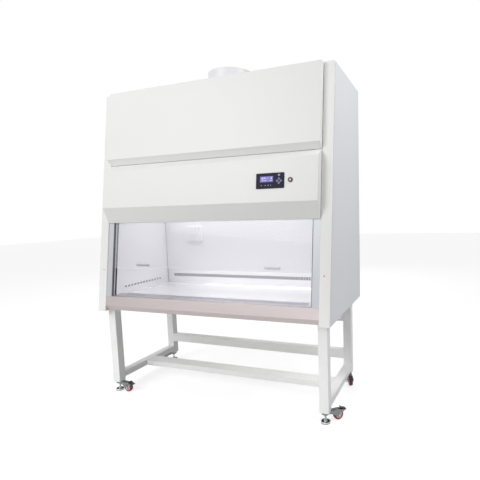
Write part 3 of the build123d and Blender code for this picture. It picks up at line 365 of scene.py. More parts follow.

# %% [markdown]
# Each CAD node keeps its mesh and gets its finish. The table pairs each finish with the nodes that have it
# on the real cabinet; the coat of the side, rear and top panels also carries painted shade.

# %% Dress the CAD nodes
corners = ("front_right", "front_left", "rear_right", "rear_left")
dressing = {
    coat_white: ["front_pillars", "top_cover", "fascia_shell"],
    coat_side_shaded: ["side_panels", "rear_panel", "top_panel"],
    coat_stand: ["stand_legs", "stand_side_rails", "stand_cross_rails"],
    coat_lining: ["back_wall", "inner_side_walls", "ceiling_diffuser"],
    steel_sill: ["sill", "base_pan"],
    steel_work: ["worktop"],
    steel_grille: ["front_grille"],
    steel_turned: ["drive_shaft"],
    channel_alloy: ["window_channels"],
    handle_alloy: ["sash_handles"],
    zinc_duct: ["plenum_box", "blower_housing", "drive_beam"],
    collar_metal: ["exhaust_duct"],
    filter_paper: ["hepa_filters"],
    alloy_cast: ["blower_impeller"],
    enamel_black: ["blower_motor"],
    enamel_grey: ["gearmotor"],
    lamp_white: ["chamber_lamps"],
    socket_abs: ["socket_box"],
    lid_abs: ["socket_lid"],
    valve_brass: ["drain_valve"],
    dipped_red: ["drain_lever"],
    glass_sash: ["sash_glass"],
    rack_acetal: ["sash_racks"],
    bezel_film: ["control_bezel"],
    screen_lit: ["display_screen"],
    key_film: ["key_up", "key_down", "key_left", "key_right"],
    key_power_film: ["key_power"],
    switch_maroon: ["key_switch_ring"],
    switch_nickel: ["key_switch_core"],
    cap_pink: ["screws"],
    fork_zinc: [f"castor_fork_{corner}" for corner in corners],
    tyre_maroon: [f"castor_wheel_{corner}" for corner in corners],
    pedal_black: [f"castor_pedal_{corner}" for corner in corners],
    zinc_plate: [f"levelling_foot_{corner}" for corner in corners],
}
dressed = 0
for material, names in dressing.items():
    for name in names:
        mesh = nodes[name].data
        mesh.materials.clear()
        mesh.materials.append(material)
        dressed += 1
print("nodes dressed:", dressed, "of", len(nodes))

# %% [markdown]
# New pieces are made with bmesh operators. Three helpers cover most of them: a bar with
# rounded edges, a turned piece spun from a half section, and the step that turns a bmesh
# into an object which rides on a CAD body. A half section is a row of points, each a radius
# and a height, and it ends where it began if the piece is hollow.

# %% Mesh helpers


def make_piece(bm, name, material, body, smooth_below=40):
    """Turns a finished bmesh into an object in the row's frame that rides on a CAD body."""
    bmesh.ops.remove_doubles(bm, verts=bm.verts, dist=1e-6)
    bmesh.ops.recalc_face_normals(bm, faces=bm.faces)
    mesh = bpy.data.meshes.new(name)
    bm.to_mesh(mesh)
    bm.free()
    mesh.materials.append(material)
    mesh.shade_smooth()
    mesh.set_sharp_from_angle(angle=radians(smooth_below))
    piece = bpy.data.objects.new(name, mesh)
    bpy.context.scene.collection.objects.link(piece)
    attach(piece, body)
    return piece


def rounded_bar(bm, size, place, edge=0.0005, segments=2):
    """Adds a bar of the given size at a placing matrix, its edges rounded."""
    made = bmesh.ops.create_cube(bm, size=1, matrix=Matrix.Diagonal((*size, 1)))
    edges = {e for v in made["verts"] for e in v.link_edges}
    beveled = bmesh.ops.bevel(bm, geom=list(edges), offset=edge, segments=segments, profile=0.5,
                              affect="EDGES", material=-1)
    verts = {v for f in beveled["faces"] for v in f.verts} | {v for v in made["verts"] if v.is_valid}
    bmesh.ops.transform(bm, matrix=place, verts=list(verts))


def turned(bm, half_section, place, steps=32):
    """Spins a half section, given as (radius, height) points, round its Z."""
    before = set(bm.verts)
    ring = [bm.verts.new((radius, 0, height)) for radius, height in half_section]
    edges = [bm.edges.new(pair) for pair in zip(ring, ring[1:])]
    bmesh.ops.spin(bm, geom=ring + edges, axis=(0, 0, 1), cent=(0, 0, 0), angle=2 * pi,
                   steps=steps, use_merge=True)
    new = [v for v in bm.verts if v not in before]
    bmesh.ops.remove_doubles(bm, verts=new, dist=1e-6)
    new = [v for v in bm.verts if v not in before]
    bmesh.ops.transform(bm, matrix=place, verts=new)


print("mesh helpers ready")

# %% [markdown]
# The glass runs in channels down both pillars. A black rubber gasket closes the gap behind it, a grey
# wiper lip stands in front, and strips of dark pile hold it on both faces. The wiper is a real lip, and
# its grey is also painted shade for the dark slot between the channel's front lip and the glass. Each has
# one section all along its length, so it is one long rounded bar laid up the slope.

# %% Window seals
channel_reach = 45 * MM
channel_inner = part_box("sill")[1].x - channel_reach
channel_low, channel_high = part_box("window_channels")
run = (along_of(channel_low.z) + 2 * MM, along_of(channel_high.z) - 8 * MM)
glass_face = -15 * MM
glass_rear = -21 * MM
gasket_out = (-46 * MM, -36 * MM)
wiper_out = (-11 * MM, -5 * MM)
pile_gap, pile_depth = 0.4 * MM, 1.5 * MM


def front_bar(bm, x_range, along_range, out_range, edge=0.4 * MM):
    """A rounded bar between limits sideways, up the slope and out of it."""
    spans = (x_range, along_range, out_range)
    rounded_bar(bm, [high - low for low, high in spans],
                on_front(*[(low + high) / 2 for low, high in spans]), edge)


seals = bmesh.new()
piles = bmesh.new()
wiper_shade_mesh = bmesh.new()
for side in (-1, 1):
    lip = sorted((side * channel_inner, side * (channel_inner - 3.5 * MM)))
    front_bar(seals, lip, run, gasket_out, 1 * MM)
    groove = sorted((side * (channel_inner + 0.5 * MM), side * (channel_inner + 12 * MM)))
    front_bar(piles, groove, run, (glass_face + pile_gap, glass_face + pile_gap + pile_depth))
    front_bar(piles, groove, run, (glass_rear - pile_gap - pile_depth, glass_rear - pile_gap))
    wiper = sorted((side * (channel_inner + 0.5 * MM), side * (channel_inner - 5 * MM)))
    front_bar(wiper_shade_mesh, wiper, run, wiper_out, 1 * MM)
# The grey wiper strips double as painted shade in the channel's slot.
make_piece(wiper_shade_mesh, "window_wiper_lips_and_shade", wiper_and_shade_grey, "cabinet")
make_piece(seals, "window_gaskets", rubber_and_shade_black, "cabinet")
make_piece(piles, "window_pile_seals", rubber_and_shade_black, "cabinet")
print("channel run, m:", round(run[1] - run[0], 3))

# %% [markdown]
# The steel lining is sealed along its corners with a bead of grey sealant, so that nothing
# can lodge there. It is drawn as a thin line up each rear corner.

# %% Chamber sealant
sealant_grey = moulded("sealant_grey", "#A9ABB5", "#9C9EA9", 0.5)
wall_low, wall_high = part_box("back_wall")
deck_low, deck_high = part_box("worktop")
ceiling_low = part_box("ceiling_diffuser")[0]
bead = 3 * MM
bead_height = ceiling_low.z - deck_high.z
bead_middle = (deck_high.z + ceiling_low.z) / 2
beads = bmesh.new()
for side in (-1, 1):
    corner_place = (side * (wall_high.x - bead / 2), wall_low.y - bead / 2, bead_middle)
    rounded_bar(beads, (bead, bead, bead_height), Matrix.Translation(corner_place), 1 * MM)
make_piece(beads, "chamber_sealant", sealant_grey, "cabinet")
print("sealant beads:", 2)

# %% [markdown]
# The air leaves through a row of slots in the back wall and round holes in the side walls.
# Each is given a thin black rim of painted shade, which stands in for the deep shade inside the hole and
# keeps it dark from far off, where the hole alone would blend into the pale sheet.

# %% Painted shade round the air slots
slot_pitch = 20 * MM
slot_width, slot_height = 6 * MM, 18 * MM
slot_level = 778 * MM
hole_count = 13
hole_pitch = 32 * MM
hole_level = 762 * MM
hole_radius = 5 * MM
hole_start = deck_low.y + 23 * MM
shade_rim_width = 2.2 * MM
stand_proud = 0.8 * MM
slot_count = int((2 * wall_high.x - 6 * slot_pitch + 0.1 * MM) / slot_pitch)
upright_size = (shade_rim_width, stand_proud, slot_height)
level_size = (slot_width + 2 * shade_rim_width, stand_proud, shade_rim_width)
# Black bars of painted shade round each slot.
slot_shade_rims = bmesh.new()
for i in range(slot_count):
    slot_x = (i - (slot_count - 1) / 2) * slot_pitch
    middle = Vector((slot_x, wall_low.y - stand_proud / 2, slot_level))
    for sign in (-1, 1):
        aside = Vector((sign * (slot_width + shade_rim_width) / 2, 0, 0))
        above = Vector((0, 0, sign * (slot_height + shade_rim_width) / 2))
        for offset, size in ((aside, upright_size), (above, level_size)):
            bmesh.ops.create_cube(slot_shade_rims, size=1, matrix=Matrix.Translation(middle + offset)
                                  @ Matrix.Diagonal((*size, 1)))
make_piece(slot_shade_rims, "slot_painted_shade", rubber_and_shade_black, "cabinet")

# Black rings of painted shade round each hole.
hole_shade_rims = bmesh.new()
ring_radius = hole_radius + shade_rim_width
ring_section = [(hole_radius, 0), (ring_radius, 0), (ring_radius, 0.5 * MM),
                (ring_radius - 0.4 * MM, stand_proud), (hole_radius, stand_proud), (hole_radius, 0)]
for side in (-1, 1):
    inward = Matrix.Rotation(-side * pi / 2, 4, "Y")
    for i in range(hole_count):
        middle = (side * wall_high.x, hole_start + i * hole_pitch, hole_level)
        turned(hole_shade_rims, ring_section, Matrix.Translation(middle) @ inward, 16)
make_piece(hole_shade_rims, "hole_painted_shade", rubber_and_shade_black, "cabinet")
print("slots and holes edged:", slot_count, 2 * hole_count)

# %% [markdown]
# The control panel is a printed film over a bezel. Light rings surround the keys, four of
# which carry a raised arrow. Small lenses stand over the indicators, the display shows plain
# bars, and a rounded rim stands round the barrel of the key switch.

# %% Control panel
panel_x = 487.5 * MM
panel_along = 845 * MM
bezel_face = 65.5 * MM
arrow_lift = 1.6 * MM
bar_lift = (0.9 * MM, 1.2 * MM)
lens_places = (-54, -29, -11, 5)
lens_drop = 27 * MM
key_names = ("key_up", "key_down", "key_left", "key_right", "key_power")


def centre_on_front(node):
    """Middle of a node as (x, distance up the slope, distance out of it)."""
    low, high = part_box(node)
    middle = (low + high) / 2
    foot = Vector((0, front_foot.y, front_foot.z))
    return middle.x, (middle - foot).dot(sash_axis), (middle - foot).dot(outward)


key_ring_section = [(5.4 * MM, 0), (5.4 * MM, 0.25 * MM), (6.9 * MM, 0.25 * MM), (6.9 * MM, 0),
                    (5.4 * MM, 0)]
rings = bmesh.new()
for key in key_names:
    key_x, key_along, _ = centre_on_front(key)
    turned(rings, key_ring_section, on_front(key_x, key_along, bezel_face), 24)
make_piece(rings, "key_rings", bezel_line, "cabinet")

arrow_turns = {"key_up": 0, "key_left": pi / 2, "key_down": pi, "key_right": -pi / 2}
for key, turn in arrow_turns.items():
    key_x, key_along, key_out = centre_on_front(key)
    arrow = bmesh.new()
    place = on_front(key_x, key_along, key_out + arrow_lift) @ Matrix.Rotation(turn, 4, "Z")
    bmesh.ops.create_cone(arrow, cap_ends=True, segments=3, radius1=2.6 * MM, radius2=2.4 * MM,
                          depth=0.25 * MM, matrix=place)
    make_piece(arrow, key + "_arrow", bezel_line, key, 20)

lens_section = [(0, 1.7 * MM), (1.4 * MM, 1.5 * MM), (2.5 * MM, 1.0 * MM), (3.0 * MM, 0.2 * MM),
                (3.0 * MM, 0)]
lenses = bmesh.new()
for lens_x in lens_places:
    place = on_front(panel_x + lens_x * MM, panel_along - lens_drop, bezel_face)
    turned(lenses, lens_section, place, 20)
make_piece(lenses, "indicator_lenses", lamp_off, "cabinet")

# Each bar: its middle from the screen's middle, sideways and up, then its width and height, in mm.
bar_table = ((-27, 5, 10, 12), (-13, 6, 14, 9), (-16, -8, 34, 4),
             (30, 6, 8, 14), (27, -8, 16, 4), (6, 6, 12, 3))
screen_x, screen_along, screen_out = centre_on_front("display_screen")
bars = bmesh.new()
for bar_x, bar_along, bar_width, bar_height in bar_table:
    sideways = [screen_x + (bar_x + half * bar_width) * MM for half in (-0.5, 0.5)]
    upward = [screen_along + (bar_along + half * bar_height) * MM for half in (-0.5, 0.5)]
    front_bar(bars, sideways, upward, [screen_out + lift for lift in bar_lift], 0.1 * MM)
make_piece(bars, "display_bars", screen_text, "cabinet")

switch_x, switch_along, switch_out = centre_on_front("key_switch_ring")
collar = bmesh.new()
lock_section = [(6 * MM, 2.4 * MM), (6 * MM, 2.8 * MM), (7.5 * MM, 3.4 * MM), (10.2 * MM, 3.5 * MM),
               (11.3 * MM, 3.2 * MM), (11.6 * MM, 2.4 * MM), (6 * MM, 2.4 * MM)]
turned(collar, lock_section, on_front(switch_x, switch_along, switch_out), 40)
make_piece(collar, "key_switch_rim", switch_maroon, "cabinet")
print("panel pieces on keys:", len(key_names) + len(arrow_turns))

# %% [markdown]
# Castors: a moulded red tyre on a pale nylon hub, turned about the axle, with five short ribs
# on each face. Bolt heads close the axle outside the fork. The joints say where each axle is
# and which way the castor points.

# %% Castor wheels


def hexagon(bm, across, height, place):
    """A hexagon head or nut with its corners eased."""
    made = bmesh.ops.create_cone(bm, cap_ends=True, segments=6, radius1=across / 2, radius2=across / 2,
                                 depth=height, matrix=place @ Matrix.Translation((0, 0, height / 2)))
    edges = {e for v in made["verts"] for e in v.link_edges}
    bmesh.ops.bevel(bm, geom=list(edges), offset=height * 0.12, segments=2, profile=0.5,
                    affect="EDGES", material=-1)


def wheel_frame(corner):
    """A frame at the middle of a wheel: X along the castor, Y up, Z along the axle."""
    swivel = Vector(joints["swivel_" + corner]["pos_m"])
    axle = Vector(joints["wheel_spin_" + corner]["pos_m"])
    heading = Vector((axle.x - swivel.x, axle.y - swivel.y, 0)).normalized()
    up = Vector((0, 0, 1))
    turn = Matrix((heading, up, heading.cross(up))).transposed()
    return Matrix.Translation(axle) @ turn.to_4x4()




def mirrored(half_outline):
    """A closed half section that is the same above and below its middle, from its lower half."""
    upper = [(radius, -height) for radius, height in reversed(half_outline)]
    return half_outline + upper + half_outline[:1]


wheel_radius = 31.5 * MM
tread = 13 * MM
tyre_section = mirrored([(21 * MM, -0.95 * tread), (27.5 * MM, -tread), (30.2 * MM, -0.86 * tread),
                         (wheel_radius, -0.58 * tread)])
hub_section = mirrored([(4.1 * MM, -tread), (8.5 * MM, -tread), (9.6 * MM, -0.62 * tread),
                        (18.6 * MM, -0.56 * tread), (19.6 * MM, -0.94 * tread),
                        (20.9 * MM, -0.94 * tread)])
rib_count = 5
rib_size = (9.5 * MM, 2.4 * MM, 2 * MM)
rib_radius = 14 * MM
rib_level = 0.66 * tread
bolt_across, bolt_height = 13 * MM, 4 * MM
fork_half = 17 * MM
for corner in corners:
    place = wheel_frame(corner)
    tyre = bmesh.new()
    turned(tyre, tyre_section, place, 48)
    tyre = make_piece(tyre, "castor_tyre_" + corner, tyre_maroon, "wheel_" + corner, 30)
    hub = bmesh.new()
    turned(hub, hub_section, place, 40)
    for rib in range(rib_count):
        rib_turn = place @ Matrix.Rotation(rib * 2 * pi / rib_count, 4, "Z")
        for face in (-1, 1):
            rounded_bar(hub, rib_size, rib_turn @ Matrix.Translation((rib_radius, 0, face * rib_level)),
                        0.5 * MM)
    make_piece(hub, "castor_hub_" + corner, hub_nylon, "wheel_" + corner, 30)
    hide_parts("castor_wheel_" + corner)
    bolts = bmesh.new()
    for turn in (0, pi):
        bolt_place = place @ Matrix.Rotation(turn, 4, "X") @ Matrix.Translation((0, 0, fork_half))
        hexagon(bolts, bolt_across, bolt_height, bolt_place)
    make_piece(bolts, "castor_bolts_" + corner, zinc_plate, "castor_" + corner, 30)
print("wheels:", len(corners))

# %% [markdown]
# A fork is pressed from zinc-plated sheet: a plate joins a turned swivel head to two cheeks,
# and each cheek has one arm to the axle and one to the pin of the brake. The arms leave part
# of the hub in sight. A cheek is one flat outline, extruded by the sheet's thickness and
# bevelled. Its points are in millimetres from the axle, along the castor and up.

# %% Castor forks
fork_sheet = 3 * MM
cheek_outline = [(-70, 36.4), (-70, 21), (-42, 14), (-10, -8), (0, -11.5), (10, -7), (11, 3),
                 (-9, 22), (-3, 25), (22, 15), (33, 18), (35, 28), (0, 36.4)]
swivel_section = [(8 * MM, 0), (22 * MM, 0), (24 * MM, 1.6 * MM), (24 * MM, 6 * MM),
                  (22.6 * MM, 6.6 * MM), (22.6 * MM, 8 * MM), (24 * MM, 8.6 * MM),
                  (24 * MM, 13.6 * MM), (22.6 * MM, 15.4 * MM), (8 * MM, 15.4 * MM), (8 * MM, 0)]
swivel_level = 21 * MM
plate_level = 34.6 * MM
sunk = 0.2 * MM
disc_section = [(0, 0), (9.5 * MM, 0), (9.5 * MM, 0.6 * MM), (8.8 * MM, 1 * MM), (0, 1 * MM)]
rivet_section = [(0, 0), (4.6 * MM, 0), (4.2 * MM, 1 * MM), (2.4 * MM, 1.7 * MM), (0, 1.8 * MM)]
trail = 88 * MM
pin_x, pin_y = 29 * MM, 23 * MM


def cheek(bm, place, near):
    """One cheek of a fork, its near face at a distance along the axle."""
    sheet = bm.faces.new([bm.verts.new((x * MM, y * MM, near)) for x, y in cheek_outline])
    grown = bmesh.ops.extrude_face_region(bm, geom=[sheet])["geom"]
    far_verts = [part for part in grown if isinstance(part, bmesh.types.BMVert)]
    bmesh.ops.translate(bm, vec=(0, 0, fork_sheet), verts=far_verts)
    edges = {edge for vert in far_verts + list(sheet.verts) for edge in vert.link_edges}
    rounded = bmesh.ops.bevel(bm, geom=list(edges), offset=0.7 * MM, segments=2, profile=0.5,
                              affect="EDGES", material=-1)
    verts = {vert for face in rounded["faces"] for vert in face.verts}
    bmesh.ops.transform(bm, matrix=place, verts=list(verts))


for corner in corners:
    place = wheel_frame(corner)
    fork = bmesh.new()
    swivel_place = place @ Matrix.Translation((-trail, swivel_level, 0))
    turned(fork, swivel_section, swivel_place @ Matrix.Rotation(-pi / 2, 4, "X"), 40)
    rounded_bar(fork, (trail - 10 * MM, fork_sheet, 2 * fork_half - 0.4 * MM),
                place @ Matrix.Translation((-trail / 2 + 5 * MM, plate_level, 0)), 0.7 * MM)
    cheek(fork, place, fork_half - fork_sheet)
    cheek(fork, place, -fork_half)
    for flip, pin_side in ((0, 1), (pi, -1)):
        outer_face = place @ Matrix.Rotation(flip, 4, "Y") @ Matrix.Translation((0, 0, fork_half - sunk))
        turned(fork, disc_section, outer_face, 28)
        pin_offset = Matrix.Translation((pin_side * pin_x, pin_y, 0))
        turned(fork, rivet_section, outer_face @ pin_offset, 18)
    open_edges = sum(len(edge.link_faces) != 2 for edge in fork.edges)
    fork = make_piece(fork, "castor_yoke_" + corner, fork_zinc, "castor_" + corner, 30)
    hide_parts("castor_fork_" + corner)
print("fork edges left open:", open_edges)

# %% [markdown]
# A levelling foot is a threaded stem with a lock nut, held by a boss in a rubber pad that a
# pressed zinc rim surrounds. The thread is drawn as rings at its pitch, which at this size
# look the same as a helix.

# %% Levelling feet
stem_radius = 6 * MM
thread_pitch = 1.75 * MM
thread_depth = 1.0 * MM
thread_low, thread_high = 24 * MM, 80 * MM
pad_section = [(0, 0), (28.8 * MM, 0), (29.4 * MM, 0.8 * MM), (29.4 * MM, 2.6 * MM), (25.7 * MM, 2.8 * MM),
               (25.5 * MM, 7.4 * MM), (19 * MM, 6.6 * MM), (10.8 * MM, 8.8 * MM), (0, 8.8 * MM)]
rim_section = [(25.8 * MM, 2.9 * MM), (29.6 * MM, 2.9 * MM), (30 * MM, 3.7 * MM), (30 * MM, 11 * MM),
               (29.2 * MM, 12.2 * MM), (27.2 * MM, 12.4 * MM), (25.8 * MM, 11.2 * MM),
               (25.8 * MM, 2.9 * MM)]
boss_section = [(stem_radius, 8.9 * MM), (12 * MM, 8.9 * MM), (12 * MM, 12.5 * MM), (10 * MM, 15.2 * MM),
                (9 * MM, 16 * MM), (stem_radius, 16 * MM)]
thread_section = [(stem_radius, 16 * MM)]
for i in range(int((thread_high - thread_low) / thread_pitch)):
    turn_z = thread_low + i * thread_pitch
    thread_section += [(stem_radius - thread_depth, turn_z), (stem_radius, turn_z + thread_pitch / 2)]
stem_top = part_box("levelling_foot_front_right")[1].z
thread_section += [(stem_radius - thread_depth, thread_high), (stem_radius - thread_depth, stem_top),
                   (0, stem_top)]
for corner in corners:
    low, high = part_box("levelling_foot_" + corner)
    place = Matrix.Translation(((low.x + high.x) / 2, (low.y + high.y) / 2, low.z))
    pad = bmesh.new()
    turned(pad, pad_section, place, 40)
    make_piece(pad, "foot_pad_" + corner, rubber_and_shade_black, "foot_" + corner)
    metal = bmesh.new()
    turned(metal, rim_section, place, 40)
    turned(metal, boss_section, place, 32)
    turned(metal, thread_section, place, 24)
    hexagon(metal, 22 * MM, 8 * MM, place @ Matrix.Translation((0, 0, 16 * MM)))
    metal = make_piece(metal, "foot_stem_" + corner, zinc_plate, "foot_" + corner)
    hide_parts("levelling_foot_" + corner)
print("thread rings per foot:", int((thread_high - thread_low) / thread_pitch))

# %% [markdown]
# Screws: the two on the pillars wear soft pink caps. Those that hold the rear panel are plated pan heads
# with a cross recess. The recess's shade is painted as two thin dark bars crossed on top.

# %% Screws
caps = bmesh.new()
pillar_screw_z = 905 * MM
pillar_screw_x = 812 * MM
cap_section = [(0, 2.5 * MM), (2.6 * MM, 2.3 * MM), (4.3 * MM, 1.6 * MM), (5 * MM, 0.4 * MM), (5 * MM, 0)]
for side in (-1, 1):
    turned(caps, cap_section, on_front(side * pillar_screw_x, along_of(pillar_screw_z), 0), 28)
caps = make_piece(caps, "pillar_screw_caps", cap_pink, "cabinet")
heads = bmesh.new()
# The dark bars in each cross recess are painted shade.
recess_shade_bars = bmesh.new()
pan_section = [(0, 1.9 * MM), (2.6 * MM, 1.8 * MM), (4.2 * MM, 1.3 * MM), (5 * MM, 0.5 * MM), (5 * MM, 0)]
recess_bar_size = (4 * MM, 0.9 * MM, 0.3 * MM)
recess_bar_level = 1.85 * MM
rear_rows = 6
rear_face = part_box("rear_panel")[1].y
rear_pitch = 270 * MM
rear_screw_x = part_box("side_panels")[1].x - 34 * MM
middle_z = (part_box("side_panels")[0].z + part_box("side_panels")[1].z) / 2
for side in (-1, 1):
    for i in range(rear_rows):
        screw_z = middle_z + (i - (rear_rows - 1) / 2) * rear_pitch
        place = Matrix.Translation((side * rear_screw_x, rear_face, screw_z))
        place = place @ Matrix.Rotation(-pi / 2, 4, "X")
        turned(heads, pan_section, place, 24)
        for turn in (0, pi / 2):
            rounded_bar(recess_shade_bars, recess_bar_size, place @ Matrix.Rotation(turn, 4, "Z")
                        @ Matrix.Translation((0, 0, recess_bar_level)), 0.1 * MM)
make_piece(heads, "rear_screw_heads", zinc_plate, "cabinet")
make_piece(recess_shade_bars, "rear_screw_recess_shade", rubber_and_shade_black, "cabinet")
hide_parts("screws")
print("screws:", 2 + 2 * rear_rows)

# %% [markdown]
# The stand is welded from tube. A weld leaves a small rounded bead along its seam, drawn as a
# bar turned 45 degrees into the corner and painted with the rest. The beads are those above
# and below each low rail, and those of the two rear rails.

# %% Stand welds
legs_low, legs_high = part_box("stand_legs")
leg_width = 60 * MM
weld_side = 2.8 * MM
rear_weld_setback, rear_weld_length = 20 * MM, 32 * MM
cross_weld_y, cross_weld_length = -47.5 * MM, 95 * MM
leg_inner = legs_high.x - leg_width
front_leg_back = legs_low.y + leg_width
rear_leg_front = legs_high.y - leg_width
low_rail = (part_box("stand_side_rails")[0].z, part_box("stand_side_rails")[0].z + 40 * MM)
mid_rail = (180 * MM, 245 * MM)
high_rail = (464 * MM, 544 * MM)


def weld_bead(bm, middle, length, axis):
    """A bead along X or Y at a seam, its section turned by 45 degrees."""
    size = (length, weld_side, weld_side) if axis == "X" else (weld_side, length, weld_side)
    rounded_bar(bm, size, Matrix.Translation(middle) @ Matrix.Rotation(pi / 4, 4, axis), 0.8 * MM)


welds = bmesh.new()
for side in (-1, 1):
    for seam_y in (front_leg_back, rear_leg_front):
        for seam_z in low_rail:
            weld_bead(welds, (side * (leg_inner + leg_width / 2), seam_y, seam_z), leg_width - 8 * MM, "X")
    for rail in (mid_rail, high_rail):
        for seam_z in rail:
            seam = (side * leg_inner, rear_leg_front + rear_weld_setback, seam_z)
            weld_bead(welds, seam, rear_weld_length, "Y")
    for seam_z in low_rail:
        weld_bead(welds, (side * leg_inner, cross_weld_y, seam_z), cross_weld_length, "Y")
make_piece(welds, "stand_welds", coat_stand, "cabinet")
print("weld beads:", 2 * (4 + 4 + 2))

# %% [markdown]
# Small fittings: sealant round the exhaust collar, screws in the sash pulls, metal caps on
# the lamp tubes and a raised frame on the socket's lid.

# %% Small fittings
collar_middle = Vector(((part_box("exhaust_duct")[0].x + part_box("exhaust_duct")[1].x) / 2,
                        (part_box("exhaust_duct")[0].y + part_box("exhaust_duct")[1].y) / 2,
                        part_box("top_panel")[1].z))
collar_radius = 157.5 * MM
fillet_inner = collar_radius + 0.1 * MM
fillet_section = [(fillet_inner, 0.1 * MM), (collar_radius + 5 * MM, 0.1 * MM),
                  (collar_radius + 3 * MM, 2.4 * MM), (fillet_inner, 4.5 * MM), (fillet_inner, 0.1 * MM)]
ring = bmesh.new()
turned(ring, fillet_section, Matrix.Translation(collar_middle), 96)
make_piece(ring, "collar_sealant", sealant_grey, "cabinet")

# Each lamp: y and z of its tube, how far along x its caps start, and the tube's radius.
work_lamp = (ceiling_low.y + 34 * MM, ceiling_low.z - 26 * MM, 430 * MM, 11 * MM)
uv_lamp = (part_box("socket_box")[1].y - 26 * MM, 1300 * MM, 438 * MM, 13 * MM)
lamp_caps = bmesh.new()
for lamp_y, lamp_z, lamp_end, tube_radius in (work_lamp, uv_lamp):
    inner, outer = tube_radius + 0.2 * MM, tube_radius + 1.2 * MM
    section = [(inner, 0), (outer - 0.4 * MM, 0), (outer, 1.2 * MM), (outer, 15 * MM),
               (outer - 0.5 * MM, 16.5 * MM), (inner, 17 * MM), (inner, 0)]
    for side in (-1, 1):
        inward = Matrix.Rotation(-side * pi / 2, 4, "Y")
        turned(lamp_caps, section, Matrix.Translation((side * lamp_end, lamp_y, lamp_z)) @ inward, 28)
make_piece(lamp_caps, "lamp_end_caps", alloy_cast, "cabinet")

pull_screws = bmesh.new()
pull_low, pull_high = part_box("sash_handles")
pull_along = along_of((pull_low.z + pull_high.z) / 2, glass_face) - 3 * MM
pull_face = glass_face + 2.5 * MM
pull_screw_section = [(0, 1.4 * MM), (1.6 * MM, 1.2 * MM), (2.6 * MM, 0.3 * MM), (2.6 * MM, 0)]
for pull_x in (-483 * MM, 483 * MM):
    for offset_x in (-38 * MM, 38 * MM):
        turned(pull_screws, pull_screw_section, on_front(pull_x + offset_x, pull_along, pull_face), 16)
make_piece(pull_screws, "sash_pull_screws", zinc_plate, "sash")

lid_low, lid_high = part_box("socket_lid")
frame_bar, frame_proud = 4 * MM, 1.2 * MM
lid_frame = bmesh.new()
lid_width = lid_high.x - lid_low.x - 16 * MM
lid_height = lid_high.z - lid_low.z - 30 * MM
lid_middle = Vector(((lid_low.x + lid_high.x) / 2, lid_low.y - 0.4 * MM,
                     (lid_low.z + lid_high.z) / 2 - 6 * MM))
for sign in (-1, 1):
    rounded_bar(lid_frame, (lid_width, frame_proud, frame_bar),
                Matrix.Translation(lid_middle + Vector((0, 0, sign * lid_height / 2))), 0.4 * MM)
    rounded_bar(lid_frame, (frame_bar, frame_proud, lid_height),
                Matrix.Translation(lid_middle + Vector((sign * lid_width / 2, 0, 0))), 0.4 * MM)
make_piece(lid_frame, "socket_lid_frame", lid_abs, "lid")

# %% [markdown]
# The studio: a pale floor that runs out to a white world. The floor glows for the camera and
# in reflections, so the ground is white but the cabinet still leaves a soft shadow. The
# camera, mirrors and glass see the world as white; other rays see a calmer grey, so pale
# paint doesn't clip. The key lamp stands in front to the left. Two faint lamps with narrow
# beams, low in front, light the stand. One high on the right lights the side, one lights the
# back, and one in the chamber adds to its tubes.

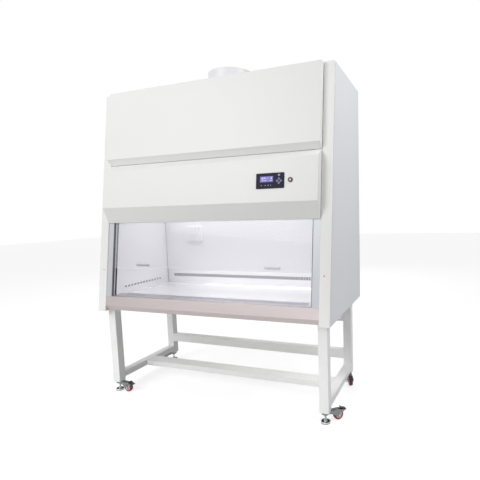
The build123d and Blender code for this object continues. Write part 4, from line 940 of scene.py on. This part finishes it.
# %% Floor, world and lamps
floor_half = 20
floor_bm = bmesh.new()
bmesh.ops.create_grid(floor_bm, x_segments=1, y_segments=1, size=floor_half)
floor_mesh = bpy.data.meshes.new("studio_floor")
floor_bm.to_mesh(floor_mesh)
floor_bm.free()
floor = bpy.data.objects.new("studio_floor", floor_mesh)
bpy.context.scene.collection.objects.link(floor)
floor_material, floor_tree, floor_shader = finish_named("studio_floor", "#BABABA", 0.9)
glow_strength = 0.70
floor_light = add(floor_tree, "ShaderNodeLightPath")
floor_seen = add(floor_tree, "ShaderNodeMath", {0: floor_light.outputs["Is Camera Ray"],
                                                1: floor_light.outputs["Is Glossy Ray"]},
                 operation="MAXIMUM")
floor_glow = add(floor_tree, "ShaderNodeMath", {0: floor_seen.outputs[0], 1: glow_strength},
                 operation="MULTIPLY")
floor_tree.links.new(floor_glow.outputs[0], floor_shader.inputs["Emission Strength"])
floor_shader.inputs["Emission Color"].default_value = (1, 1, 1, 1)
floor_mesh.materials.append(floor_material)

world = bpy.data.worlds.new("studio_world")
bpy.context.scene.world = world
world.use_nodes = True
world_tree = world.node_tree
background = world_tree.nodes["Background"]
path = add(world_tree, "ShaderNodeLightPath")
seen = add(world_tree, "ShaderNodeMath", {0: path.outputs["Is Camera Ray"],
                                          1: path.outputs["Is Glossy Ray"]}, operation="MAXIMUM")
seen = add(world_tree, "ShaderNodeMath", {0: seen.outputs[0], 1: path.outputs["Is Transmission Ray"]},
           operation="MAXIMUM")
sky_low = 0.34
strength = add(world_tree, "ShaderNodeMapRange", {"Value": seen.outputs[0], "To Min": sky_low,
                                                  "To Max": 1.0})
world_tree.links.new(strength.outputs["Result"], background.inputs["Strength"])
background.inputs["Color"].default_value = (1, 1, 1, 1)


def soft_light(name, place, aim, size, watts, spread=180):
    """A square softbox that faces its aim, its beam held to a spread in degrees."""
    data = bpy.data.lights.new(name, "AREA")
    data.spread = radians(spread)
    data.shape = "SQUARE"
    data.size = size
    data.energy = watts
    light = bpy.data.objects.new(name, data)
    light.location = place
    light.rotation_euler = (Vector(aim) - Vector(place)).to_track_quat("-Z", "Y").to_euler()
    bpy.context.scene.collection.objects.link(light)
    return light


soft_light("softbox_key", (-2.0, -4.6, 3.6), (0, 0, 1.3), 3.0, 150)
for name, low_x in (("softbox_low_left", -0.7), ("softbox_low_right", 0.7)):
    soft_light(name, (low_x, -3.2, 0.15), (low_x, 0, 0.1), 0.5, 1.0, 40)
soft_light("softbox_side", (3.0, -0.4, 3.3), (0.9, 0.0, 2.1), 1.4, 42)
soft_light("softbox_back", (-1.6, 5.0, 3.4), (0, 0, 1.4), 2.5, 60)
chamber_glow = soft_light("chamber_light", (0, 0.0, 1.33), (0, 0.0, 0.7), 1.4, 3.3)
chamber_glow.data.shape = "RECTANGLE"
chamber_glow.data.size_y = 0.6
print("studio ready")
